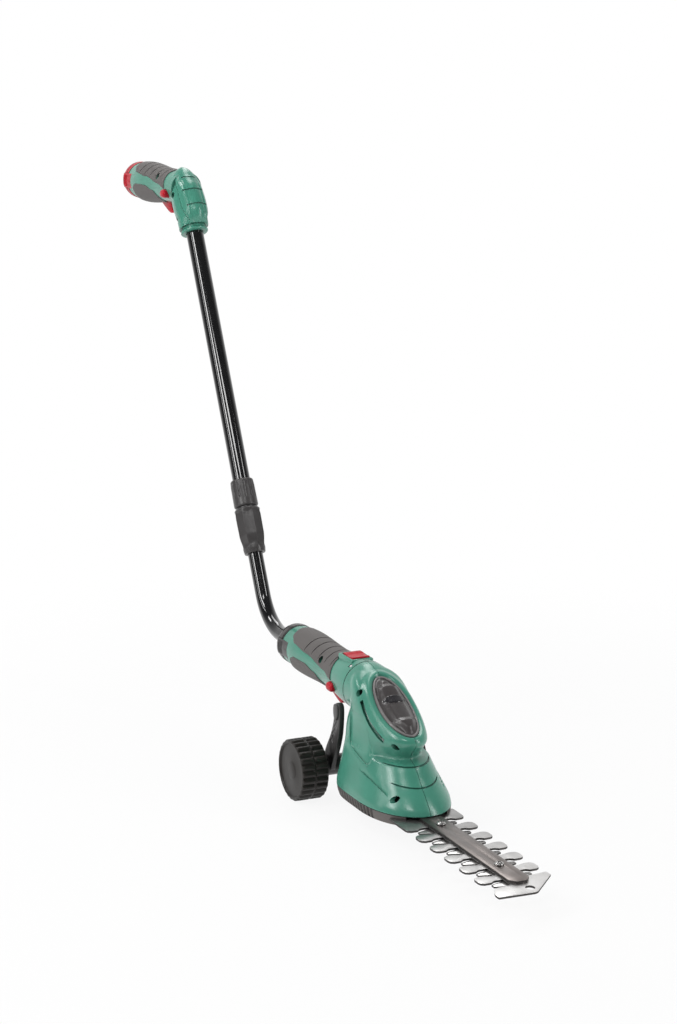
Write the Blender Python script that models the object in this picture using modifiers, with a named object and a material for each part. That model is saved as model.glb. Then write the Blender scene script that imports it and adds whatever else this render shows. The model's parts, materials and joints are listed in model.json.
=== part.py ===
"""Cordless shrub shear on a telescopic pole with two wheels.

The origin is the middle of the upper hand grip. +X points forward along the blade,
+Y to the user's left and +Z up. Every length is in metres.
"""

import math

import bmesh
import bpy
from mathutils import Matrix, Vector

# Fits shared by all pieces
GAP = 0.0003
SEAM = 0.0003
SIDES = 24

# Both hand grips, measured from their rear end along X
GRIP_END_RADIUS = 0.0206
GRIP_BELLY_RADIUS = 0.0218
GRIP_BELLY_AT = 0.030
WAIST_PAST_TRIGGER = 0.0130
PAD_RISE = 0.0012
TOP_PAD_START = 0.012
TOP_PAD_SHORT_OF_BUTTON = 0.0030
TOP_PAD_EDGE = 0.0105
BOTTOM_PAD_START = 0.020
BOTTOM_PAD_PAST_TRIGGER = 0.0150
BOTTOM_PAD_EDGE = -0.001
BAY_RADIUS = 0.0170
BAY_DEPTH = 0.068
CAP_RADIUS = 0.0210
CAP_LENGTH = 0.0130
CAP_FLOOR = 0.0030
TAB_REACH = 0.0145
TAB_HALF_HEIGHT = 0.0085
TAB_TRAVEL = 0.0012
CONTACT_LENGTH = 0.0072
CONTACT_HALF_WIDTH = 0.0090
CONTACT_LOW = -0.0040
CONTACT_HIGH = 0.0105
WIRE_WAY_RADIUS = 0.0025
WIRE_WAY_HEIGHT = 0.0030
WIRE_WAY_SIDE = 0.0070
BAY_TO_TRIGGER = 0.0070
TRIGGER_DROP = 0.0135
TRIGGER_REACH = 0.0310
TRIGGER_HALF_WIDTH = 0.0055
TRUNNION_RADIUS = 0.0020
TRUNNION_HALF_LENGTH = 0.0085
SPRING_RADIUS = 0.0020
SPRING_WIRE_RADIUS = 0.00035
SPRING_TURNS = 3
SPRING_AT = 0.0045
SWITCH_AT = 0.0080
SWITCH_LENGTH = 0.0200
SWITCH_HALF_WIDTH = 0.0050
SWITCH_HEIGHT = 0.0100
TRIGGER_TO_BUTTON = 0.0410
BUTTON_DROP = 0.0065
BUTTON_RADIUS = 0.0042
BUTTON_HALF_FLAT = 0.0020
BUTTON_PROUD = 0.0042

# Housing screws, driven in from the right side
SCREW_HEAD_RADIUS = 0.0028
SCREW_HEAD_LENGTH = 0.0020
SCREW_SHANK_RADIUS = 0.0014
SCREW_SHANK_LENGTH = 0.0180
SCREW_PAST_TRIGGER = 0.0135
GRIP_SCREW_HEIGHT = 0.0105
GRIP_SCREW_SEAT = 0.0125

# Upper handle
HAND_TO_GRIP_END = 0.056
BUTTON_TO_POLE = 0.0190
HANDLE_WAIST_RADIUS = 0.0183
HANDLE_FRONT_RADIUS = 0.0180
NECK_LOW_SEAT = 0.0085
NECK_MID_SEAT = 0.0115
# Neck levels on the pole axis: height, forward offset, half depth, half width
NECK_PROFILE = (
    (-0.0528, 0.0000, 0.0143, 0.0143), (-0.0505, 0.0000, 0.0156, 0.0153), (-0.0475, 0.0000, 0.0172, 0.0156),
    (-0.0425, 0.0015, 0.0199, 0.0160), (-0.0370, 0.0024, 0.0220, 0.0165), (-0.0310, 0.0024, 0.0232, 0.0169),
    (-0.0220, 0.0008, 0.0242, 0.0173), (-0.0120, -0.0007, 0.0235, 0.0172), (0.0000, -0.0025, 0.0213, 0.0167),
    (0.0106, -0.0040, 0.0160, 0.0150), (0.0166, -0.0045, 0.0134, 0.0123), (0.0226, -0.0039, 0.0083, 0.0075),
    (0.0262, -0.0035, 0.0035, 0.0032))

# Battery pack in the upper handle
CASE_WALL = 0.0012
CELL_RADIUS = 0.0071
CELL_LENGTH = 0.0500

# Telescopic pole, measured down its axis from the level of the hand
POLE_LEAN = math.radians(27.8)
UPPER_TUBE_RADIUS = 0.0095
UPPER_TUBE_WALL = 0.0012
UPPER_TUBE_TOP = 0.020
LOWER_TUBE_WALL = 0.0010
LOWER_TUBE_TOP = 0.040
CLAMP_TOP = 0.3380
COLLAR_LENGTH = 0.0295
COLLAR_RADIUS = 0.0130
CLAMP_SLIT = 0.0023
SLEEVE_LENGTH = 0.0492
SLEEVE_RADIUS = 0.0145
SLEEVE_FOOT_RADIUS = 0.0112
SLEEVE_LIP = 0.0100
TUBE_IN_SLEEVE = 0.0085
COLLET_WALL = 0.0015
POLE_TO_CORNER = 0.4990
BEND_RADIUS = 0.074
CORNER_TO_PLUG = 0.065
PLUG_SOCKET_DEPTH = 0.040
PLUG_WIRE_RADIUS = 0.0060

# Trimmer grip, measured from the ring seam where the head turns
BUTTON_TO_RING = 0.0305
TRIMMER_WAIST_RADIUS = 0.0198
RING_RADIUS = 0.0250
CONTROL_SHIFT = 0.0075
LATCH_LENGTH = 0.0210
LATCH_HALF_WIDTH = 0.0095
LATCH_FRONT = 0.0115
LATCH_SEAT = 0.0205
LATCH_TOP = 0.0262
LATCH_TRAVEL = 0.0030
FRAME_WALL = 0.0025
FRAME_TOP = 0.0245
LAMP_RADIUS = 0.0015
LAMP_LENGTH = 0.0050
LAMP_BACK = 0.0045
LAMP_ANGLE = math.radians(125)
SWIVEL_RADIUS = 0.0120
SWIVEL_BORE = 0.0090
SWIVEL_FLANGE_RADIUS = 0.0152
SWIVEL_FLANGE = 0.0030
SWIVEL_BACK = 0.0192
SWIVEL_FRONT = 0.0112

# Head housing levels below and above the swivel axis: height, back, widest place, front, half width
HEAD_WALL = 0.0030
HEAD_PROFILE = (
    (-0.0862, 0.0100, 0.0720, 0.1380, 0.0436), (-0.0800, 0.0095, 0.0700, 0.1340, 0.0430),
    (-0.0720, 0.0090, 0.0660, 0.1268, 0.0402), (-0.0650, 0.0080, 0.0620, 0.1196, 0.0376),
    (-0.0580, 0.0070, 0.0590, 0.1134, 0.0350), (-0.0500, 0.0060, 0.0560, 0.1062, 0.0324),
    (-0.0450, 0.0055, 0.0540, 0.1022, 0.0308), (-0.0370, 0.0050, 0.0520, 0.1040, 0.0296),
    (-0.0290, 0.0046, 0.0500, 0.1062, 0.0288), (-0.0230, 0.0042, 0.0470, 0.1008, 0.0286),
    (-0.0140, 0.0036, 0.0420, 0.0866, 0.0284), (-0.0060, 0.0030, 0.0370, 0.0720, 0.0280),
    (0.0070, 0.0026, 0.0280, 0.0475, 0.0260), (0.0150, 0.0025, 0.0200, 0.0315, 0.0222),
    (0.0200, 0.0040, 0.0130, 0.0215, 0.0150), (0.0225, 0.0080, 0.0115, 0.0150, 0.0060))
HEAD_REAR_POWER = 5.5
HEAD_FRONT_POWER = 2.05
NECK_FLARE_LENGTH = 0.0300
NECK_FLARE = 0.0020
COVER_LENGTH = 0.0830
COVER_WIDTH = 0.0380
COVER_AT = 0.0620
COVER_HEIGHT = -0.0030
COVER_SLOPE = math.radians(26)
COVER_DEPTH = 0.0018
COVER_PROUD = 0.0008
BOSS_RADIUS = 0.0045
# Head screws: place, height and depth of the seat
HEAD_SCREWS = {"head_screw_top": (0.0350, 0.0060, 0.0170), "head_screw_lip": (0.0940, -0.0305, 0.0100),
               "head_screw_nose": (0.1145, -0.0735, 0.0180)}

# Base plate and gear train inside the head
BASE_INSET = 0.0008
BASE_TAPER = 0.0045
BASE_BOTTOM = -0.0960
BASE_FRONT = 0.1290
TRAY_FRONT = 0.1090
POST_RADIUS = 0.0035
POST_REAR = 0.0280
POST_FRONT = 0.0880
POST_HALF_GAUGE = 0.0180
GEAR_PLATE_Z = -0.0660
GEAR_PLATE_THICKNESS = 0.0030
GEAR_PLATE_HALF_WIDTH = 0.0228
GEAR_PLATE_MARGIN = 0.0050
MOTOR_AT = 0.0400
MOTOR_RADIUS = 0.0140
MOTOR_LENGTH = 0.0375
MOTOR_SHAFT_RADIUS = 0.0012
GEAR_MODULE = 0.0010
PINION_TEETH = 12
GEAR_TEETH = 36
GEAR_TOP = -0.0720
GEAR_WIDTH = 0.0080
SPINDLE_RADIUS = 0.0025
CRANK_RADIUS = 0.0050
CRANK_PIN_RADIUS = 0.0025

# Blade stack
FIXED_TOP = -0.0893
FIXED_THICKNESS = 0.0020
CUTTER_THICKNESS = 0.0018
GUIDE_THICKNESS = 0.0025
GUIDE_REAR = 0.1180
GUIDE_FRONT = 0.3030
GUIDE_HALF_WIDTH = 0.0103
TOOTH_PITCH = 0.0271
TOOTH_COUNT = 5
TOOTH_FIRST_LEFT = 0.1620
TOOTH_STAGGER = 0.0125
TOOTH_ROOT = 0.0105
TOOTH_NECK = 0.0054
TOOTH_HEAD = 0.0077
TOOTH_TIP = 0.0040
TOOTH_REACH = 0.0332
BLADE_END = 0.3240
BLADE_TAIL = 0.0780
TAIL_HALF_WIDTH = 0.0210
CUTTER_TAIL = 0.0520
CUTTER_TAIL_HALF_WIDTH = 0.0120
CUTTER_OFFSET = 0.0095
CUTTER_ROOT = 0.0056
CUTTER_TIP = 0.0020
CUTTER_REACH = 0.0225
BLADE_SCREW_REAR = 0.1570
BLADE_SCREW_FRONT = 0.2635
BLADE_SCREW_HEAD_RADIUS = 0.0042
BLADE_SCREW_HEAD_HEIGHT = 0.0026
BLADE_SCREW_SHANK_RADIUS = 0.0020
BLADE_SCREW_FOOT = 0.0010
END_SLOT_AT = 0.3130
END_SLOT_HALF_LENGTH = 0.0040
END_SLOT_HALF_WIDTH = 0.0018
END_SLOT_SIDE = 0.0020

# Wheel carriage behind the head
AXLE_BACK = 0.0266
AXLE_DROP = 0.0847
AXLE_RADIUS = 0.0030
AXLE_HALF_LENGTH = 0.0612
HUB_RADIUS = 0.0100
HUB_HALF_LENGTH = 0.0382
WHEEL_RADIUS = 0.0304
WHEEL_INNER = 0.0392
WHEEL_WIDTH = 0.0280
WHEEL_RIDGES = 26
WHEEL_RIDGE_DEPTH = 0.0013
WHEEL_DISH = 0.0015
WHEEL_RIM = 0.0035
ARM_SPREAD = 0.0265
ARM_THICKNESS = 0.0060
ARM_PAD_RADIUS = 0.0062
ARM_PAD_BACK = 0.0035
ARM_PAD_DROP = 0.0208
TONGUE_HALF_WIDTH = 0.0140
TONGUE_TOP = -0.0889
TONGUE_THICKNESS = 0.0042
TONGUE_REACH = 0.0300
HEEL_TOP = -0.0840
HEEL_REACH = 0.0060

# Sizes that follow from the driving ones
TRIGGER_AT = BAY_DEPTH + BAY_TO_TRIGGER
BUTTON_AT = TRIGGER_AT + TRIGGER_TO_BUTTON
GRIP_WAIST_AT = TRIGGER_AT + WAIST_PAST_TRIGGER
GRIP_SCREW_AT = TRIGGER_AT + SCREW_PAST_TRIGGER
TOP_PAD_END = BUTTON_AT - TOP_PAD_SHORT_OF_BUTTON
BOTTOM_PAD_END = TRIGGER_AT + BOTTOM_PAD_PAST_TRIGGER
HAND_TO_POLE = BUTTON_AT + BUTTON_TO_POLE - HAND_TO_GRIP_END
TRIMMER_GRIP_LENGTH = BUTTON_AT + CONTROL_SHIFT + BUTTON_TO_RING
SPIGOT_RADIUS = BAY_RADIUS - GAP
LOWER_TUBE_RADIUS = UPPER_TUBE_RADIUS - UPPER_TUBE_WALL - GAP
TAB_INNER = SPIGOT_RADIUS + TAB_TRAVEL + GAP
SLEEVE_TOP = CLAMP_TOP + COLLAR_LENGTH + CLAMP_SLIT
SLEEVE_BOTTOM = SLEEVE_TOP + SLEEVE_LENGTH
UPPER_TUBE_END = SLEEVE_TOP + TUBE_IN_SLEEVE
GEAR_AT = MOTOR_AT + GEAR_MODULE * (PINION_TEETH + GEAR_TEETH) / 2
FIXED_BOTTOM = FIXED_TOP - FIXED_THICKNESS
CUTTER_TOP = FIXED_BOTTOM - GAP
CUTTER_BOTTOM = CUTTER_TOP - CUTTER_THICKNESS
GUIDE_TOP = FIXED_TOP + GAP + GUIDE_THICKNESS
FOOT_Z = HEAD_PROFILE[0][0]
BASE_TOP = FOOT_Z - GAP
CUTTER_STROKE = 2 * CRANK_RADIUS
HANDLE_REAR = -HAND_TO_GRIP_END
TRIMMER_REAR = -TRIMMER_GRIP_LENGTH
BIG = 0.5

for old in list(bpy.data.objects):
    bpy.data.objects.remove(old, do_unlink=True)


def collection(name):
    made = bpy.data.collections.new(name)
    bpy.context.scene.collection.children.link(made)
    return made


PARTS = collection("pole_shrub_shear")
CUTTERS = collection("cutters")


def finish(name, colour, roughness, metallic=0.0):
    """One Principled material in a part's own colour."""
    made = bpy.data.materials.new(name)
    made.use_nodes = True
    shader = made.node_tree.nodes["Principled BSDF"]
    shader.inputs["Base Color"].default_value = (*colour, 1.0)
    shader.inputs["Roughness"].default_value = roughness
    shader.inputs["Metallic"].default_value = metallic
    return made


GREEN = finish("green_housing", (0.055, 0.27, 0.195), 0.42)
GREY_PAD = finish("grey_soft_grip", (0.12, 0.115, 0.12), 0.75)
DARK_GREY = finish("dark_grey_plastic", (0.035, 0.035, 0.038), 0.55)
RED = finish("red_control", (0.55, 0.012, 0.02), 0.35)
BLACK_TUBE = finish("black_lacquered_tube", (0.006, 0.006, 0.007), 0.18)
STEEL = finish("ground_steel", (0.55, 0.54, 0.52), 0.3, 1.0)
GUIDE_STEEL = finish("guide_steel", (0.30, 0.28, 0.26), 0.38, 1.0)
SCREW_STEEL = finish("screw_steel", (0.62, 0.60, 0.57), 0.25, 1.0)
GEAR_NYLON = finish("gear_nylon", (0.75, 0.73, 0.66), 0.5)
LAMP_LENS = finish("lamp_lens", (0.8, 0.82, 0.8), 0.1)


def frame(name, location, rotation=(0, 0, 0), parent=None):
    """An empty that carries one sub-assembly."""
    made = bpy.data.objects.new(name, None)
    made.empty_display_size = 0.02
    made.location = location
    made.rotation_euler = rotation
    made.parent = parent
    PARTS.objects.link(made)
    return made


def part(name, mesh, parent, material, origin=(0, 0, 0)):
    """A named piece under its frame, with its origin moved onto its joint."""
    mesh.transform(Matrix.Translation(-Vector(origin)))
    mesh.materials.append(material)
    mesh.shade_smooth()
    mesh.set_sharp_from_angle(angle=math.radians(30))
    made = bpy.data.objects.new(name, mesh)
    made.location = origin
    made.parent = parent
    PARTS.objects.link(made)
    return made


def cutter(name, mesh, parent):
    """A hidden tool body for the Booleans."""
    made = bpy.data.objects.new(name, mesh)
    made.parent = parent
    made.hide_render = True
    made.display_type = "WIRE"
    CUTTERS.objects.link(made)
    return made


def boolean(target, operation, tools):
    for tool in tools:
        modifier = target.modifiers.new(operation.lower(), "BOOLEAN")
        modifier.operation = operation
        modifier.solver = "EXACT"
        modifier.object = tool


def subtract(target, *tools):
    boolean(target, "DIFFERENCE", tools)


def unite(target, *tools):
    boolean(target, "UNION", tools)


def intersect(target, *tools):
    boolean(target, "INTERSECT", tools)


def to_mesh(shape, name):
    mesh = bpy.data.meshes.new(name)
    bmesh.ops.recalc_face_normals(shape, faces=shape.faces)
    shape.to_mesh(mesh)
    shape.free()
    return mesh


def box(name, low, high):
    shape = bmesh.new()
    bmesh.ops.create_cube(shape, size=1.0)
    low, high = Vector(low), Vector(high)
    bmesh.ops.scale(shape, vec=high - low, verts=shape.verts)
    bmesh.ops.translate(shape, vec=(low + high) / 2, verts=shape.verts)
    return to_mesh(shape, name)


def rod(name, start, end, radius, end_radius=None, sides=SIDES):
    """A cylinder, or a cone frustum, between two points."""
    start, end = Vector(start), Vector(end)
    shape = bmesh.new()
    bmesh.ops.create_cone(
        shape, cap_ends=True, segments=sides, depth=(end - start).length,
        radius1=radius, radius2=radius if end_radius is None else end_radius)
    turn = (end - start).to_track_quat("Z", "Y").to_matrix().to_4x4()
    bmesh.ops.transform(shape, matrix=Matrix.Translation((start + end) / 2) @ turn, verts=shape.verts)
    return to_mesh(shape, name)


def loft(name, rings):
    """A closed skin over unlike sections, with flat ends."""
    shape = bmesh.new()
    loops = [[shape.verts.new(point) for point in ring] for ring in rings]
    for near, far in zip(loops, loops[1:]):
        for i in range(len(near)):
            j = (i + 1) % len(near)
            shape.faces.new((near[i], near[j], far[j], far[i]))
    shape.faces.new(loops[0])
    shape.faces.new(loops[-1])
    return to_mesh(shape, name)


def evaluated_mesh(made, close_ends=True):
    """The mesh of a curve or of an object with modifiers, welded and with open ends closed flat."""
    bpy.context.view_layer.update()
    graph = bpy.context.evaluated_depsgraph_get()
    mesh = bpy.data.meshes.new_from_object(made.evaluated_get(graph))
    shape = bmesh.new()
    shape.from_mesh(mesh)
    bmesh.ops.remove_doubles(shape, verts=shape.verts, dist=0.00001)
    if close_ends:
        bmesh.ops.holes_fill(shape, edges=shape.edges, sides=0)
    bmesh.ops.recalc_face_normals(shape, faces=shape.faces)
    shape.to_mesh(mesh)
    shape.free()
    bpy.data.objects.remove(made, do_unlink=True)
    return mesh


def plate(name, outline, low, high):
    """A flat outline in X and Y, cut from sheet between two heights."""
    curve = bpy.data.curves.new(name, "CURVE")
    curve.dimensions = "2D"
    curve.fill_mode = "NONE"
    curve.extrude = (high - low) / 2
    spline = curve.splines.new("POLY")
    spline.points.add(len(outline) - 1)
    for point, (x, y) in zip(spline.points, outline):
        point.co = (x, y, 0, 1)
    spline.use_cyclic_u = True
    made = bpy.data.objects.new(name, curve)
    CUTTERS.objects.link(made)
    mesh = evaluated_mesh(made)
    mesh.transform(Matrix.Translation((0, 0, (low + high) / 2)))
    return mesh


def side_plate(name, outline, low, high):
    """A flat outline in X and Z, cut from sheet between two Y values."""
    mesh = plate(name, outline, -high, -low)
    mesh.transform(Matrix.Rotation(math.radians(90), 4, "X"))
    return mesh


def turned(name, profile, steps=SIDES):
    """A profile of (radius, height) points, top to bottom outside, turned about Z."""
    mesh = bpy.data.meshes.new(name)
    points = [(radius, 0, height) for radius, height in profile]
    edges = [(i, i + 1) for i in range(len(points) - 1)]
    if profile[0][0] > 0:
        edges.append((len(points) - 1, 0))
    mesh.from_pydata(points, edges, [])
    made = bpy.data.objects.new(name, mesh)
    CUTTERS.objects.link(made)
    screw = made.modifiers.new("turn", "SCREW")
    screw.angle = 2 * math.pi
    screw.steps = steps
    screw.render_steps = steps
    screw.use_merge_vertices = True
    screw.merge_threshold = 0.00001
    return evaluated_mesh(made)


def along_x(mesh):
    """Lay a turned mesh down, so that its height runs along +X."""
    mesh.transform(Matrix.Rotation(math.radians(90), 4, "Y"))
    return mesh


def eased(stations, at):
    """A smooth value between (place, value) stations."""
    for (start, low), (end, high) in zip(stations, stations[1:]):
        if at <= end:
            share = max(0.0, (at - start) / (end - start))
            return low + (high - low) * share * share * (3 - 2 * share)
    return stations[-1][1]


def straight(stations, at):
    """A value on straight lines between (place, value) stations."""
    for (start, low), (end, high) in zip(stations, stations[1:]):
        if at <= end:
            return low + (high - low) * max(0.0, (at - start) / (end - start))
    return stations[-1][1]


def circle(radius, count=SIDES, phase=0.0):
    return [(radius * math.cos(phase + 2 * math.pi * i / count),
             radius * math.sin(phase + 2 * math.pi * i / count)) for i in range(count)]


def grip_skin(name, rear, length, waist_radius, front_radius, rise=0.0):
    """The outside of a hand grip: end, belly, waist and front, grown by a rise."""
    stations = [(0.0, GRIP_END_RADIUS), (GRIP_BELLY_AT, GRIP_BELLY_RADIUS),
                (GRIP_WAIST_AT, waist_radius), (length, front_radius)]
    count = 11
    rings = []
    for i in range(count):
        at = length * i / (count - 1)
        radius = eased(stations, at) + rise
        rings.append([Vector((rear + at, y, z)) for y, z in circle(radius)])
    return loft(name, rings)


def half_spaces():
    """The low and high corners of the left and right halves, apart at the seam."""
    left = ((-BIG, SEAM / 2, -BIG), (BIG, BIG, BIG))
    right = ((-BIG, -BIG, -BIG), (BIG, -SEAM / 2, BIG))
    return (("left", left), ("right", right))


def split_shells(prefix, body, parent):
    """Two clamshell halves of a body."""
    whole = evaluated_mesh(body)
    for side, (low, high) in half_spaces():
        shell = part(f"{prefix}_shell_{side}", whole.copy(), parent, GREEN)
        intersect(shell, cutter(f"{prefix}_{side}_half", box("half", low, high), parent))


def screw_along_y(name, parent, x, z, seat, bodies):
    """A housing screw from the right side, with its recess and hole in the given bodies."""
    head_end = -seat - SCREW_HEAD_LENGTH
    tip = -seat + SCREW_SHANK_LENGTH
    recess = cutter(f"{name}_recess", rod(name, (x, -BIG, z), (x, -seat + GAP, z),
                                          SCREW_HEAD_RADIUS + GAP, sides=14), parent)
    hole = cutter(f"{name}_hole", rod(name, (x, -seat - GAP, z), (x, tip + GAP, z),
                                      SCREW_SHANK_RADIUS + GAP, sides=10), parent)
    for body in bodies:
        subtract(body, recess, hole)
    profile = [(0, tip), (SCREW_SHANK_RADIUS, tip), (SCREW_SHANK_RADIUS, -seat),
               (SCREW_HEAD_RADIUS, -seat), (SCREW_HEAD_RADIUS, head_end), (0, head_end)]
    mesh = turned(name, profile, 12)
    mesh.transform(Matrix.Translation((x, 0, z)) @ Matrix.Rotation(math.radians(-90), 4, "X"))
    part(name, mesh, parent, SCREW_STEEL)


def tab_box(name, rear, inner, side, slack):
    """The block of one release tab, grown by a slack all round but inwards."""
    low = (rear - CAP_LENGTH + CAP_FLOOR - slack, inner, -TAB_HALF_HEIGHT - slack)
    high = (rear + TAB_REACH + slack, BIG, TAB_HALF_HEIGHT + slack)
    mesh = box(name, low, high)
    mesh.transform(Matrix.Diagonal((1, side, 1, 1)))
    if side < 0:
        mesh.flip_normals()
    return mesh


def release_tabs(prefix, parent, rear, material, shells, cap):
    """Two sprung side tabs that hold a plug-in end in its bay, with their notches."""
    for side_name, side in (("left", 1), ("right", -1)):
        name = f"{prefix}_tab_{side_name}"
        notch = cutter(f"{name}_notch", tab_box(name, rear, SPIGOT_RADIUS - GAP, side, GAP), parent)
        subtract(shells, notch)
        cap_notch = cutter(f"{name}_cap_notch", tab_box(name, rear, SPIGOT_RADIUS + GAP, side, GAP), parent)
        subtract(cap, cap_notch)
        tab = part(name, tab_box(name, rear, TAB_INNER, side, 0.0), parent, material)
        skin = rod(name, (rear - BIG, 0, 0), (rear + BIG, 0, 0), CAP_RADIUS + GAP)
        intersect(tab, cutter(f"{name}_skin", skin, parent))


def trigger_outline():
    """The trigger's side view from its pivot: flat top, hooked finger face, blunt nose."""
    reach = TRIGGER_REACH
    return [(-0.0040, -0.0040), (0.0020, -0.0065), (0.45 * reach, -0.0105), (0.82 * reach, -0.0160),
            (reach, -0.0135), (0.92 * reach, -0.0060), (0.85 * reach, 0.0030), (-0.0040, 0.0030)]


def grip_controls(prefix, parent, rear, shift, body):
    """Trigger, spring, switch and contacts of one grip, with their pockets."""
    pivot = Vector((rear + TRIGGER_AT + shift, 0, -TRIGGER_DROP))
    roof = 0.0085
    slot = box("slot", (pivot.x - 0.0049, -TRIGGER_HALF_WIDTH - GAP, -BIG),
               (pivot.x + TRIGGER_REACH + 0.0025, TRIGGER_HALF_WIDTH + GAP, pivot.z + roof))
    bearing = rod("bearing", pivot + Vector((0, -TRUNNION_HALF_LENGTH - GAP, 0)),
                  pivot + Vector((0, TRUNNION_HALF_LENGTH + GAP, 0)), TRUNNION_RADIUS + GAP, sides=14)
    subtract(body, cutter(f"{prefix}_trigger_slot", slot, parent),
             cutter(f"{prefix}_trigger_bearing", bearing, parent))
    lever = side_plate("lever", [(pivot.x + x, pivot.z + z) for x, z in trigger_outline()],
                       -TRIGGER_HALF_WIDTH, TRIGGER_HALF_WIDTH)
    trigger = part(f"{prefix}_trigger", lever, parent, RED, pivot)
    trunnion = rod("trunnion", pivot + Vector((0, -TRUNNION_HALF_LENGTH, 0)),
                   pivot + Vector((0, TRUNNION_HALF_LENGTH, 0)), TRUNNION_RADIUS, sides=14)
    unite(trigger, cutter(f"{prefix}_trigger_trunnion", trunnion, parent))

    spring_low = pivot.z + 0.0030 + GAP + SPRING_WIRE_RADIUS
    spring_high = pivot.z + roof - GAP - SPRING_WIRE_RADIUS
    part(f"{prefix}_trigger_spring", coil("spring", pivot.x + SPRING_AT, spring_low, spring_high),
         parent, SCREW_STEEL)

    switch_low = Vector((pivot.x + SWITCH_AT, -SWITCH_HALF_WIDTH, pivot.z + roof + GAP))
    switch_high = switch_low + Vector((SWITCH_LENGTH, 2 * SWITCH_HALF_WIDTH, SWITCH_HEIGHT))
    slack = Vector((GAP, GAP, GAP))
    subtract(body, cutter(f"{prefix}_switch_pocket",
                          box("pocket", switch_low - slack, switch_high + slack), parent))
    part(f"{prefix}_switch", box("switch", switch_low, switch_high), parent, DARK_GREY)

    contact_low = Vector((rear + BAY_DEPTH + GAP, -CONTACT_HALF_WIDTH, CONTACT_LOW))
    contact_high = Vector((contact_low.x + CONTACT_LENGTH, CONTACT_HALF_WIDTH, CONTACT_HIGH))
    subtract(body, cutter(f"{prefix}_contact_pocket",
                          box("pocket", contact_low - slack, contact_high + slack), parent))
    part(f"{prefix}_contact_block", box("contacts", contact_low, contact_high), parent, DARK_GREY)


def lock_button(prefix, parent, at, half_width, body):
    """A cross-bolt that blocks the trigger until it is pushed through."""
    for slack in (GAP, 0.0):
        outline = []
        for x, z in circle(BUTTON_RADIUS + slack, 20, math.pi / 20):
            outline.append((at.x + x + math.copysign(BUTTON_HALF_FLAT, x), at.z + z))
        half = (half_width + BUTTON_PROUD) * (2 if slack else 1)
        mesh = side_plate("button", outline, -half, half)
        if slack:
            subtract(body, cutter(f"{prefix}_button_hole", mesh, parent))
        else:
            part(f"{prefix}_lock_button", mesh, parent, RED, at)


def coil(name, x, low, high):
    """A small compression spring standing on Z."""
    curve = bpy.data.curves.new(name, "CURVE")
    curve.dimensions = "3D"
    curve.bevel_depth = SPRING_WIRE_RADIUS
    curve.bevel_resolution = 1
    curve.use_fill_caps = True
    spline = curve.splines.new("POLY")
    count = 8 * SPRING_TURNS
    spline.points.add(count)
    for i, point in enumerate(spline.points):
        angle = 2 * math.pi * SPRING_TURNS * i / count
        point.co = (x + SPRING_RADIUS * math.cos(angle), SPRING_RADIUS * math.sin(angle),
                    low + (high - low) * i / count, 1)
    made = bpy.data.objects.new(name, curve)
    CUTTERS.objects.link(made)
    return evaluated_mesh(made)


def soft_pads(prefix, parent, rear, skin_arguments, shift, tools):
    """The two overmoulded pads of a grip: a ribbed top one and a D-shaped lower one."""
    outer = cutter(f"{prefix}_pad_outer", grip_skin("outer", rear, *skin_arguments, PAD_RISE), parent)
    inner = cutter(f"{prefix}_pad_inner", grip_skin("inner", rear, *skin_arguments, GAP), parent)
    start, edge = rear + TOP_PAD_START, TOP_PAD_EDGE
    end = rear + TOP_PAD_END + shift
    top = [(start + 0.004, edge + 0.009), (start + 0.014, edge + 0.001), (start + 0.050, edge),
           (end - 0.020, edge - 0.002), (end, edge - 0.0045), (end - 0.0040, BIG), (start, BIG)]
    low_start, low_end, low_edge = rear + BOTTOM_PAD_START, rear + BOTTOM_PAD_END, BOTTOM_PAD_EDGE
    middle = (low_start + low_end) / 2
    bottom = [(low_start, -BIG), (low_end, -BIG), (low_end - 0.004, low_edge - 0.009),
              (low_end - 0.012, low_edge - 0.003), (middle, low_edge), (low_start + 0.010, low_edge - 0.002),
              (low_start, low_edge - 0.009)]
    for name, outline in ((f"{prefix}_top_pad", top), (f"{prefix}_bottom_pad", bottom)):
        pad = part(name, side_plate(name, outline, -BIG, BIG), parent, GREY_PAD)
        intersect(pad, outer)
        subtract(pad, inner, *tools)


def common_grip(prefix, parent, rear, length, waist_radius, front_radius, extra_bodies, shift):
    """One hand grip: its body for the two shells, pads, controls and their pockets."""
    skin_arguments = (length, waist_radius, front_radius)
    body = cutter(f"{prefix}_body", grip_skin("body", rear, *skin_arguments), parent)
    unite(body, *extra_bodies)
    bay = rod("bay", (rear - BIG, 0, 0), (rear + BAY_DEPTH, 0, 0), BAY_RADIUS)
    wire_start = rear + BAY_DEPTH + CONTACT_LENGTH
    wire_way = rod("wire_way", (wire_start, WIRE_WAY_SIDE, WIRE_WAY_HEIGHT),
                   (rear + length + 2 * WIRE_WAY_RADIUS, WIRE_WAY_SIDE, WIRE_WAY_HEIGHT),
                   WIRE_WAY_RADIUS, sides=12)
    subtract(body, cutter(f"{prefix}_bay", bay, parent), cutter(f"{prefix}_wire_way", wire_way, parent))
    grip_controls(prefix, parent, rear, shift, body)
    button_at = Vector((rear + BUTTON_AT + shift, 0, -BUTTON_DROP))
    lock_button(prefix, parent, button_at, (waist_radius + front_radius) / 2, body)
    screw_along_y(f"{prefix}_screw_top", parent, rear + GRIP_SCREW_AT, GRIP_SCREW_HEIGHT,
                  GRIP_SCREW_SEAT, [body])
    pad_tools = [bpy.data.objects[f"{prefix}_{name}"]
                 for name in ("screw_top_recess", "screw_top_hole", "trigger_slot")]
    soft_pads(prefix, parent, rear, skin_arguments, shift, pad_tools)
    return body


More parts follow.
